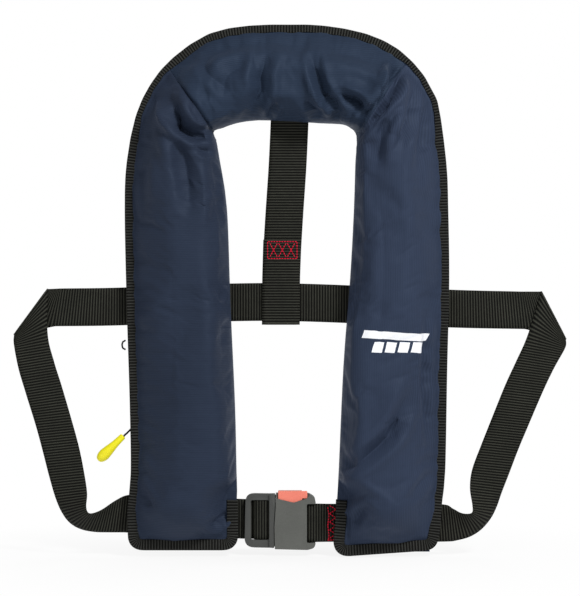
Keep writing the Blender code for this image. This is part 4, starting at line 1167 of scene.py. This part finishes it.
def waist_belt():
    """The whole belt: right sleeve, right side, rear, left side, left sleeve and round the buckle's bar."""
    right_side = smooth_stations([[(*tip, SIDE_DEPTH) for tip in RIGHT_FOLD]] + RIGHT_DOWN)
    left_end = level_stations([(x, LEFT_BELT_Z, depth) for x, depth in BAR_TURN])
    left_side = smooth_stations([[(*tip, SIDE_DEPTH) for tip in LEFT_FOLD]] + LEFT_DOWN + left_end)
    stations = right_side[::-1] + folded_corner(*RIGHT_FOLD, CORNER_OUTWARD * (-1, 1))[::-1][1:]
    stations += smooth_stations(REAR_STATIONS) + folded_corner(*LEFT_FOLD, CORNER_OUTWARD)[:-1] + left_side
    belt = webbing("waist_belt", stations, smooth=False, reach=2)
    tie(belt, "belt_webbing", "rear_belt", "side_belt_right", "side_belt_left")
    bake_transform(belt)


waist_belt()

SLEEVE_RUN = [(-108.0, 39.0, 4.0), (-62.0, 37.0, 4.0)]
# over the male half's bar and back; the webbing spreads a little where it fills the windows
BAR_RUN = [(-55.0, 36.6, 4.4), (-49.0, 36.3, 6.3), (-43.0, 36.1, 6.8), (-38.6, 36.0, 6.4), (-36.7, 36.0, 5.2),
           (-35.8, 35.9, 3.6), (-34.4, 35.8, 2.5), (-32.0, 35.8, 2.1), (-27.0, 35.8, 2.0), (-23.6, 35.8, 2.2),
           (-21.6, 35.8, 3.0), (-20.9, 35.8, 5.0), (-21.6, 35.8, 7.6), (-24.6, 35.8, 8.9), (-36.0, 35.9, 9.3),
           (-49.0, 35.9, 8.9)]
TAIL_RUN = [(-56.0, 36.2, 7.8), (-62.0, 36.4, 6.7), (-72.0, 37.0, 6.6)]
WINDOW_SPREAD = 0.9
adjuster_stations = (level_stations(SLEEVE_RUN) + level_stations(BAR_RUN, HALF_BELT + WINDOW_SPREAD)
                     + level_stations(TAIL_RUN))
adjuster = webbing("adjuster_webbing", adjuster_stations, thickness=1.1)
tie(adjuster, "belt_webbing", "adjuster_strap", body="buckle_male")

# ---------------------------------------------------------------- back strap

LOOP_Z = 234.0
LOOP_RADIUS = 2.5
LOOP_X = -9.2
STRAP_LAYER = 1.5                   # depth of the layer that comes back up in front


def back_strap():
    """Strap from the collar patch down, round the rear belt and back up in front of itself."""
    centres = [(0.0, 460.0, 0.9), (-0.2, 446.0, 1.0), (-0.4, 435.0, 1.4), (-2.5, 390.0, 2.1),
               (-5.5, 345.0, 3.1), (-7.5, 312.0, 3.9), (-8.2, 296.0, 4.4), (-8.8, 280.0, 6.3),
               (-9.0, 270.0, 6.6)]
    for turn in np.linspace(0.0, math.pi, 9):
        depth = REAR_DEPTH + LOOP_RADIUS * math.cos(turn)
        centres.append((LOOP_X, LOOP_Z - LOOP_RADIUS * math.sin(turn), depth))
    centres += [(x, z, STRAP_LAYER) for x, z in ((-9.0, 270.0), (-8.4, 296.0), (-7.8, 316.5))]
    strap = webbing("back_strap_webbing", upright_stations(centres))
    tie(strap, "belt_webbing", "back_strap")
    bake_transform(strap)


def box_stitch(x_range, z_range, depth, crosses):
    """Rectangle of stitching with crosses side by side in it."""
    (left, right), (low, high) = x_range, z_range
    lines = [[(left, z, depth), (right, z, depth)] for z in z_range]
    lines += [[(x, low, depth), (x, high, depth)] for x in x_range]
    inset, apart = 1.6, 0.6
    width = (right - left - 2 * inset) / crosses
    for number in range(crosses):
        start = left + inset + number * width + apart
        stop = start + width - 2 * apart
        lines.append([(start, low + inset, depth), (stop, high - inset, depth)])
        lines.append([(start, high - inset, depth), (stop, low + inset, depth)])
    return lines


back_strap()
stitches("back_strap_stitching", box_stitch((-22.5, 7.0), (297.5, 314.5), STRAP_LAYER - 0.75, 3),
         "stitch_red", "valve_plastic", "harness", 0.52)

# the zigzag that closes the belt's loop on the buckle, seen in front: (x, z) lines
belt_seam = [[(38.6 + 0.6 * math.sin(step), 15.5 + step * 3.0) for step in range(12)]]
belt_seam += [[(37.4, 15.0), (45.5, 15.6)]]
belt_seam += [[(39.6, low), (46.4, low + 4.1), (39.6, low + 8.2)] for low in (17.0, 25.2, 33.4, 41.6)]
stitches("belt_end_stitching", [[(x, z, 3.2) for x, z in line] for line in belt_seam],
         "stitch_red", "valve_plastic", "jacket", 0.6)

# ---------------------------------------------------------------- sleeves and patch on the back

SLEEVE_FOOT = 1.2
SLEEVE_ROWS = 60
# one side of the sleeve's hat section: distance in from its edge, share of the way up to its top, and what
# is added to that height
SLEEVE_SECTION = ((0.3, 0, 0.0), (5.0, 0, 0.0), (6.8, 0, 0.5), (7.6, 0, 3.4), (8.8, 1, -0.8), (12.0, 1, 0.0))


def sleeve(name, node):
    """Fabric tunnel behind a lobe for the belt: a soft hat section with hemmed, slightly gathered mouths."""
    (left, right), (low, high), (_, top) = span(node)
    foot, lid = SLEEVE_FOOT, top - 0.4
    half = [(inset, foot + (lid - foot) * share + extra) for inset, share, extra in SLEEVE_SECTION]
    section = [(low + inset, depth) for inset, depth in half] + [((low + high) / 2, lid + 0.15)]
    section = smooth_curve(section + [(high - inset, depth) for inset, depth in half[::-1]], 4)
    places = []
    for x in np.linspace(left, right, SLEEVE_ROWS):
        from_mouth = min(x - left, right - x)
        hem = 0.35 * math.exp(-((from_mouth - 3.5) / 1.2) ** 2)
        for z, depth in section:
            rise = (depth - foot) / (lid - foot)
            sag = 0.5 * noise.noise(Vector((x / 14.0, z / 11.0, 2.0)))
            places.append((x, z, depth + rise * (sag - hem - 0.5)))
    places = np.array(places)
    obj = make_object(name, places, grid_faces(SLEEVE_ROWS, len(section)), places[:, :2] * MM, "cover_cloth")
    thicken(obj, 0.9, 1.0)
    tie(obj, "cover_cloth", node, body="jacket")
    rows = [[(x, z, foot + 0.9) for x in (left + 2.0, right - 2.0)] for z in (low + 2.6, high - 2.6)]
    stitches(name + "_stitching", rows, "stitch_dark", "cord_black", "jacket", 0.3)


sleeve("belt_tunnel_right", "belt_sleeve_right")
sleeve("belt_tunnel_left", "belt_sleeve_left")


def anchor_patch():
    """Cloth patch sewn over the strap's top end, with turned-in edges and a box of stitching."""
    (left, right), (low, high), (_, rear) = span("strap_anchor_patch")
    rows, columns = 34, 40
    places = []
    for z in np.linspace(low, high, rows):
        for x in np.linspace(left, right, columns):
            gap = min(x - left, right - x, z - low, high - z)
            turned = 0.5 * math.exp(-(gap - 4.0) ** 2)
            over_strap = 0.35 * min(max((gap - 3.0) / 5.0, 0.0), 1.0) if left + 5 < x < right - 5 else 0.0
            soft = 0.2 * noise.noise(Vector((x / 9.0, z / 9.0, 5.0)))
            places.append((x, z, rear - 0.5 + over_strap - turned + soft))
    places = np.array(places)
    faces = grid_faces(rows, columns, True)
    obj = make_object("strap_patch_cloth", places, faces, places[:, :2] * MM, "cover_cloth")
    thicken(obj, 0.8)
    tie(obj, "cover_cloth", "strap_anchor_patch", body="jacket")
    box = box_stitch((left + 4, right - 4), (low + 4, high - 4), rear, 1)
    stitches("strap_patch_stitching", box, "stitch_dark", "cord_black", "jacket", 0.35, 3.0)


anchor_patch()

# ---------------------------------------------------------------- buckle

PARTING = (span("buckle_housing_front")[2][1] + span("buckle_housing_rear")[2][0]) / 2
HOUSE_FRONT = span("buckle_housing_front")[2][0]
HOUSE_REAR = span("buckle_housing_rear")[2][1]
HOUSE_SKIN = 1.2
HOUSE_RIM = 0.7                     # rounding of each half's outer rim
HOUSE_BAR = ((18.3, 23.3), (11.0, 53.0))
TONGUE_SLOT = 2.4                   # half depth of the slot that the tongue slides in
SLOT_X = (-17.0, 12.5)
SLOT_Z = (17.0, 53.0)
BUTTON_X = (-12.4, 12.5)
HALF_GAP = 0.15                     # each half stops this far from the parting line
EAR_RIGHT = 26.0
HOUSE_RIGHT = 16.9
# (x, z, corner radius) round the housing from its lower right ear
EARS = [(17.5, 5.6, 8.0), (24.2, 7.4, 5.0), (EAR_RIGHT, 12.7, 1.2), (HOUSE_RIGHT, 12.7, 1.6),
        (HOUSE_RIGHT, 51.7, 1.6), (EAR_RIGHT, 51.7, 1.2)]
NOTCH = [(24.6, 58.6, 6.0), (20.3, 61.4, 0.6), (17.9, 58.6, 0.6), (16.6, 57.2, 1.0), (3.5, 53.0, 8.0),
         (-12.7, 57.0, 0.4), (-12.8, 62.0, 0.3)]
PLAIN_TOP = [(24.6, 58.6, 6.0), (19.0, 62.0, 6.0)]
MOUTH = [(-14.2, 62.2, 0.5), (-14.4, 48.0, 30.0), (-15.6, 30.0, 30.0), (-15.2, 6.4, 0.8)]

MALE_FRONT, MALE_REAR = 1.2, 8.7
SHOULDER_HALF = 6.4
SHOULDER_LEFT = -20.8
TONGUE_HALF = 2.0
MOUTH_GAP = 0.7
MALE_MOUTH = [(x - MOUTH_GAP, min(max(z, 7.4), 61.6), radius) for x, z, radius in MOUTH[::-1]]
MALE_OUTLINE = [(-45.8, 8.0, 10.0), *MALE_MOUTH, (-44.6, 62.0, 9.0)]
SHOULDER = [(SHOULDER_LEFT, 7.9, 0.8), *MALE_MOUTH, (SHOULDER_LEFT, 61.5, 0.8)]
# narrow lip that closes the gap behind the parting line
LIP_REACH = MOUTH_GAP - 0.08
LIP = [(-17.0, 8.4, 0.1), *((x + LIP_REACH, min(max(z, 8.4), 60.6), radius) for x, z, radius in MALE_MOUTH),
       (-17.0, 60.6, 0.1)]
THROUGH = (-5.0, 15.0)              # depths beyond both faces of the male half
# the two windows round the webbing bar, and the recesses that bring the bar below both faces:
# left, right, front, rear, corner radius
WINDOWS = ((-39.0, -33.0, *THROUGH, 1.8), (-25.0, -20.9, *THROUGH, 1.8), (-39.5, -20.9, THROUGH[0], 3.7, 2.0),
           (-39.5, -21.5, 6.2, THROUGH[1], 0.5), (-49.0, -38.8, 5.0, THROUGH[1], 0.5))
WINDOW_LOW, WINDOW_HIGH = 15.4, 55.4
FILLET_STEPS = 7


def filleted(outline):
    """(x, z) outline with each corner replaced by an arc of its own radius."""
    points = []
    count = len(outline)
    for index, (x, z, radius) in enumerate(outline):
        corner = np.array([x, z])
        ways = [np.array(outline[(index + side) % count][:2]) - corner for side in (-1, 1)]
        lengths = [np.linalg.norm(way) for way in ways]
        ways = [way / length for way, length in zip(ways, lengths)]
        half = math.acos(np.clip(ways[0] @ ways[1], -1, 1)) / 2
        trim = min(radius / math.tan(half), *(0.48 * length for length in lengths))
        start, stop = corner + ways[0] * trim, corner + ways[1] * trim
        for share in np.linspace(0, 1, FILLET_STEPS):
            points.append((1 - share) ** 2 * start + 2 * share * (1 - share) * corner + share ** 2 * stop)
    return points


def prism(outline, front, rear):
    """Closed bmesh between two depths over an (x, z) outline."""
    mesh = bmesh.new()
    faces = []
    for depth in (front, rear):
        verts = [mesh.verts.new(world((x, z, depth))) for x, z in outline]
        faces.append(mesh.faces.new(verts))
    low, high = faces[0].verts[:], faces[1].verts[:]
    for index in range(len(low)):
        following = (index + 1) % len(low)
        mesh.faces.new((low[index], low[following], high[following], high[index]))
    bmesh.ops.recalc_face_normals(mesh, faces=mesh.faces)
    return mesh


def prism_with_rim(outline, front, rear, rim, faces=None):
    """Prism over a filleted outline whose edges at the given depths (both unless named) are rounded."""
    mesh = prism(filleted(outline), front, rear)
    for depth in faces or (front, rear):
        face_y = PANEL_Y + depth * MM
        border = [edge for edge in mesh.edges if all(abs(vert.co.y - face_y) < 1e-6 for vert in edge.verts)]
        bmesh.ops.bevel(mesh, geom=border, offset=rim * MM, segments=3, affect="EDGES", profile=0.6,
                        clamp_overlap=True)
    bmesh.ops.triangulate(mesh, faces=[face for face in mesh.faces if len(face.verts) > 4])
    return mesh


def join_solid(holder, mesh, operation):
    """Adds a bmesh to the holder or cuts it out."""
    tool = solid_object("tool", mesh)
    cut = holder.modifiers.new("cut", "BOOLEAN")
    cut.operation = operation
    cut.object = tool
    apply_modifiers(holder)
    bpy.data.objects.remove(tool)


def block(x_range, z_range, front, rear):
    """Box between two depths."""
    (left, right), (low, high) = x_range, z_range
    return prism([(left, low), (right, low), (right, high), (left, high)], front, rear)


def dress_solid(obj, node, look):
    """Gives a moulded solid its material and shading and ties it to its CAD node."""
    obj.data.materials.clear()
    obj.data.materials.append(LOOKS[look])
    obj.data.shade_smooth()
    obj.data.set_sharp_from_angle(angle=math.radians(38))
    tie(obj, look, node, body=body_of(node))


def housing_half(node, outline, depths, outer_depth, cavities, bar_depths):
    """One housing half with rounded corners and a soft outer rim, hollow for the tongue and the button."""
    obj = solid_object(node + "_skin", prism_with_rim(outline, *depths, HOUSE_RIM, (outer_depth,)))
    for x_range, z_range, front, rear in cavities:
        join_solid(obj, block(x_range, z_range, front, rear), "DIFFERENCE")
    join_solid(obj, block(*HOUSE_BAR, *bar_depths), "UNION")
    dress_solid(obj, node, "buckle_grey")


def housing():
    """Both halves of the female housing; the front one is notched for the release button."""
    inside_front, inside_rear = HOUSE_FRONT + HOUSE_SKIN, HOUSE_REAR - HOUSE_SKIN
    front_stop, rear_stop = PARTING - HALF_GAP, PARTING + HALF_GAP
    front_cavities = ((SLOT_X, SLOT_Z, PARTING - TONGUE_SLOT, PARTING + 1),
                      (BUTTON_X, (42.0, 63.0), inside_front, PARTING + 1),
                      ((12.0, 17.8), (53.7, 63.0), inside_front, PARTING - 2.0),
                      ((0.8, 6.2), (30.0, 43.0), inside_front, PARTING - 2.0))
    rear_cavities = ((SLOT_X, SLOT_Z, PARTING - 1, PARTING + TONGUE_SLOT),
                     (BUTTON_X, (52.5, 63.0), PARTING - 1, inside_rear))
    housing_half("buckle_housing_front", EARS + NOTCH + MOUTH, (HOUSE_FRONT, front_stop), HOUSE_FRONT,
                 front_cavities, (2.0, front_stop))
    housing_half("buckle_housing_rear", EARS + PLAIN_TOP + MOUTH, (rear_stop, HOUSE_REAR), HOUSE_REAR,
                 rear_cavities, (rear_stop, 8.0))


def male_half():
    """Male half: rounded frame with two windows and a webbing bar, thicker shoulder and tongue."""
    obj = solid_object("buckle_male_half_skin", prism_with_rim(MALE_OUTLINE, MALE_FRONT, MALE_REAR, 1.1))
    shoulder = prism_with_rim(SHOULDER, PARTING - SHOULDER_HALF, PARTING + SHOULDER_HALF, 1.0)
    lip = prism(filleted(LIP), PARTING - 2.2, PARTING + 2.2)
    tongue = block((-18.0, 11.0), (18.0, 52.0), PARTING - TONGUE_HALF, PARTING + TONGUE_HALF)
    for added in (shoulder, lip, tongue):
        join_solid(obj, added, "UNION")
    for left, right, front, rear, radius in WINDOWS:
        hole = [(left, WINDOW_LOW, radius), (right, WINDOW_LOW, radius), (right, WINDOW_HIGH, radius),
                (left, WINDOW_HIGH, radius)]
        join_solid(obj, prism(filleted(hole), front, rear), "DIFFERENCE")
    dress_solid(obj, "buckle_male_half", "frame_grey")


housing()
male_half()
polished("release_button", 0.8)

# ---------------------------------------------------------------- handle, cords and inner hardware

SPIN_SEGMENTS = 48
# (radius, reach) pairs from the grip's thin end, where the cord enters, to its thick end
GRIP_PROFILE = [(1.5, 0.0), (2.6, 0.25), (3.2, 1.6), (3.35, 5.0), (3.8, 12.0), (4.8, 18.5), (5.5, 23.5),
                (5.75, 26.6), (5.4, 29.8), (4.4, 32.4), (2.8, 34.4), (0.8, 35.2), (0.0, 35.3)]
PULL_CORD = 0.95                    # radius of the pull's cord, and of the edge loop's
LOOP_CORD = 0.85


def spun(name, profile, base, direction, look):
    """Body of revolution: profile holds (radius, reach) pairs along a direction from its base."""
    side = np.cross(direction, (0.0, 0.0, 1.0))
    side /= np.linalg.norm(side)
    up = np.cross(direction, side)
    rings, uvs = [], []
    for radius, reach in smooth_curve(profile, 5):
        centre = base + direction * reach
        ring = []
        for turn in np.linspace(0, 2 * math.pi, SPIN_SEGMENTS, endpoint=False):
            ring.append(centre + (side * math.cos(turn) + up * math.sin(turn)) * max(radius, 0.02))
            uvs.append((reach * MM, turn * radius * MM))
        rings.append(ring)
    return tube_object(name, rings, uvs, look)


def pull_handle():
    """The teardrop grip and its cord, which run along the pull's own direction."""
    joint = next(joint for joint in frame["joints"] if joint["name"] == "pull_slide")
    pull = np.array([joint["axis"][0], joint["axis"][2], 0.0])
    pull /= np.linalg.norm(pull)
    (left, _), (low, _), (front, rear) = span("pull_cord")
    base = np.array([left + 0.7, low + 0.7, (front + rear) / 2]) - pull * 5.6
    grip = spun("pull_handle_grip", GRIP_PROFILE, base, pull, "handle_plastic")
    tie(grip, "handle_plastic", "pull_handle", body="pull")
    line = [base + pull * 4.0, base - pull * 6.0 + (0.4, -0.4, 0.0)]
    line += [base - pull * reach for reach in (20.0, 36.0, 54.0)]
    tie(cord("pull_cord_line", line, PULL_CORD, 1.2), "cord_black", "pull_cord", body="pull")


def edge_loop():
    """Small cord loop that stands out of the right lobe's edge."""
    (left, right), (low, high), (front, rear) = span("edge_cord_loop")
    z, depth = (low + high) / 2, (front + rear) / 2
    points = [(right, low + 1, depth), (left + 1.6, z - 3, depth), (left + 0.8, z, depth + 0.3),
              (left + 1.6, z + 3, depth), (right, high - 1, depth)]
    tie(cord("edge_loop_cord", points, LOOP_CORD, 0.5), "cord_black", "edge_cord_loop", body="jacket")


def spring(node, joint):
    """Coil spring: a copy of its CAD node with a mesh of its own; its joint's travel is looked up but not
    applied.
    """
    low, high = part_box(node)
    joints = frame["record"]["behaviour"]["joints"]
    travel = next(entry for entry in joints if entry["name"] == joint)["range_m"][1]
    coil = polished(node, 0.0, "small_steel")
    1.0 - travel / (high.z - low.z)
    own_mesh(coil)


# width of the softened edges; 0 leaves round pieces as they are
SOFTENED = {
    "inflator_body": 0.7, "firing_lever": 0.4, "status_indicator": 0.3, "manifold_nut": 0.5,
    "cylinder_gasket": 0.3, "lever_pivot_pin": 0.2, "piercing_pin": 0.0, "gas_cylinder": 0.5,
    "oral_tube": 0.3, "oral_tube_cap": 0.5, "oral_valve": 0.2, "whistle": 0.7, "whistle_cord": 0.0,
    "lifting_loop": 0.2}

pull_handle()
edge_loop()
for node, softness in SOFTENED.items():
    polished(node, softness, angle=38.0)
for tape in ("right_upper", "right_lower", "left"):
    polished("hook_tape_" + tape, 0.3)
    polished("loop_tape_" + tape, 0.3)
spring("pin_spring", "pin_rise")
spring("button_spring", "button_press")

# ---------------------------------------------------------------- folded bladder

BLADDER_CLEARANCE = 6.5             # from the cover's outside to the folded bladder
BLADDER_FOLD_SHARE = 2.2            # the bladder stays this many times a fold's depth further back
BLADDER_VOXEL = 3.8
PUFF_FRAMES = 12
PUFF_RUN = {"quality": 3, "uniform_pressure_force": 4.0}
PUFF_LIMIT = 3.0
PUFF_SHARE = 0.6
PLEAT_PITCH = 17.0
PLEAT_DEPTH = 2.6


def puff(obj):
    """Runs the bladder as cloth and keeps a share of the movement, up to a limit."""
    move = cloth_moves(obj, PUFF_FRAMES, PUFF_RUN)
    size = np.linalg.norm(move, axis=1)
    move *= (np.minimum(size, PUFF_LIMIT * MM) / np.maximum(size, 1e-9))[:, None]
    move_vertices(obj, vertex_vectors(obj) + move * PUFF_SHARE)


def folded_bladder():
    """The folded bladder: remeshed from its CAD solid, puffed as cloth and pleated along the lobes."""
    obj = solid_object("bladder_folded", cad_mesh("bladder"))
    obj.data.materials.append(LOOKS["bladder_cloth"])
    voxels = obj.modifiers.new("voxels", "REMESH")
    voxels.mode = "VOXEL"
    voxels.voxel_size = BLADDER_VOXEL * MM
    apply_modifiers(obj)
    puff(obj)
    points, normals = vertex_vectors(obj), vertex_vectors(obj, "normal")
    flat = points[:, [0, 2]] / MM
    gap = gap_to(flat, resample(OUTER, 5.0))
    facing = np.clip(-normals[:, 1], 0, 1)
    pleat = np.abs(np.sin(math.pi * (gap + wander(flat, 40.0, 7.0) * 4.0) / PLEAT_PITCH)) ** 0.5
    crumple = wander(flat, 14.0, 8.0)
    shift = facing * ((pleat - 1.0) * PLEAT_DEPTH + crumple * 0.5) - 1.6
    points += normals * (shift * MM)[:, None]
    flat = points[:, [0, 2]] / MM
    cover = cover_depths(flat, gap_to(flat, BOTTOM_RIGHT, BOTTOM_LEFT))
    cover += np.maximum(fold_depth(flat), 0.0) * BLADDER_FOLD_SHARE
    front_limit = np.minimum(cover + BLADDER_CLEARANCE, -2.0)
    points[:, 1] = np.maximum(points[:, 1], PANEL_Y + front_limit * MM)
    move_vertices(obj, points)
    obj.data.shade_smooth()
    subdivide(obj)
    tie(obj, "bladder_cloth", "bladder", body="jacket")


folded_bladder()

# ---------------------------------------------------------------- stage, light and camera

SCENE_CENTRE = Vector((0.0, 0.0, (CAD_BOX[0].z + CAD_BOX[1].z) / 2))
SURROUND_LIGHT = 0.34               # strength of the white surround on everything but the camera
WHITE = (1.0, 1.0, 1.0, 1.0)
FLOOR_HALF = 6.0
FLOOR_Z = -0.0005
# name, place, diameter and power of each lamp; all point at the jacket's middle
LAMPS = (("key_light", (1.0, -1.5, 1.7), 0.5, 46.0),
         ("fill_light", (-1.4, -1.6, 0.7), 1.2, 6.0),
         ("rear_light", (0.6, 1.8, 1.6), 1.2, 9.0))
VIEW_WIDTH = 0.580                  # metres across the picture, in the belt's plane
PICTURE = (580, 596)
LENS, SENSOR = 150.0, 36.0
BELT_PLANE = 0.012
VIEW_HEIGHT = 0.258


def floor_look():
    """Pale floor that melts into the white surround with distance."""
    look = Look("studio_floor")
    place = look.coordinates("Object")
    reach = add_node(look.tree, "ShaderNodeVectorMath", {0: place}, operation="LENGTH")
    share = (Value(reach.outputs["Value"]) * 0.4 + 0.82).maths("MINIMUM", 1.0)
    glow = add_node(look.tree, "ShaderNodeEmission", {"Color": WHITE, "Strength": 1.0})
    layers = {0: share, 1: look.shader.outputs[0], 2: glow.outputs[0]}
    blend = add_node(look.tree, "ShaderNodeMixShader", layers)
    feed(look.tree.nodes["Material Output"], {"Surface": blend.outputs[0]})
    return look.shaded({"Base Color": (0.86, 0.86, 0.86, 1.0), "Roughness": 0.9, "Specular IOR Level": 0.1})


def build_floor():
    """A square floor centred under the jacket."""
    corners = [(x * FLOOR_HALF, y * FLOOR_HALF, FLOOR_Z) for x, y in ((-1, -1), (1, -1), (1, 1), (-1, 1))]
    mesh = bpy.data.meshes.new("studio_floor")
    mesh.from_pydata(corners, [], [(0, 1, 2, 3)])
    mesh.materials.append(floor_look())
    link_object("studio_floor", mesh)


def build_lights():
    """Three round lamps, and a white surround that the camera sees brighter than it shines."""
    scene = bpy.context.scene
    scene.view_settings.view_transform = "Standard"
    scene.world = bpy.data.worlds.new("studio")
    scene.world.use_nodes = True
    tree = scene.world.node_tree
    seen = Value(tree.nodes.new("ShaderNodeLightPath").outputs["Is Camera Ray"])
    strength = seen * (1.0 - SURROUND_LIGHT) + SURROUND_LIGHT
    feed(tree.nodes["Background"], {"Color": WHITE, "Strength": strength})
    for name, place, diameter, power in LAMPS:
        data = bpy.data.lights.new(name, "AREA")
        data.shape = "DISK"
        data.size = diameter
        data.energy = power
        lamp = link_object(name, data)
        lamp.location = place
        lamp.rotation_mode = "QUATERNION"
        lamp.rotation_quaternion = (SCENE_CENTRE - lamp.location).to_track_quat("-Z", "Y")


def build_camera():
    """Square-on view in which the picture's longer side takes the sensor's width."""
    data = bpy.data.cameras.new("camera")
    data.lens = LENS
    data.sensor_width = SENSOR
    distance = VIEW_WIDTH * max(PICTURE) / PICTURE[0] * LENS / SENSOR
    camera = link_object("camera", data)
    camera.location = (0.0, BELT_PLANE - distance, VIEW_HEIGHT)
    camera.rotation_euler = (math.pi / 2, 0.0, 0.0)
    bpy.context.scene.camera = camera


build_floor()
build_lights()
build_camera()
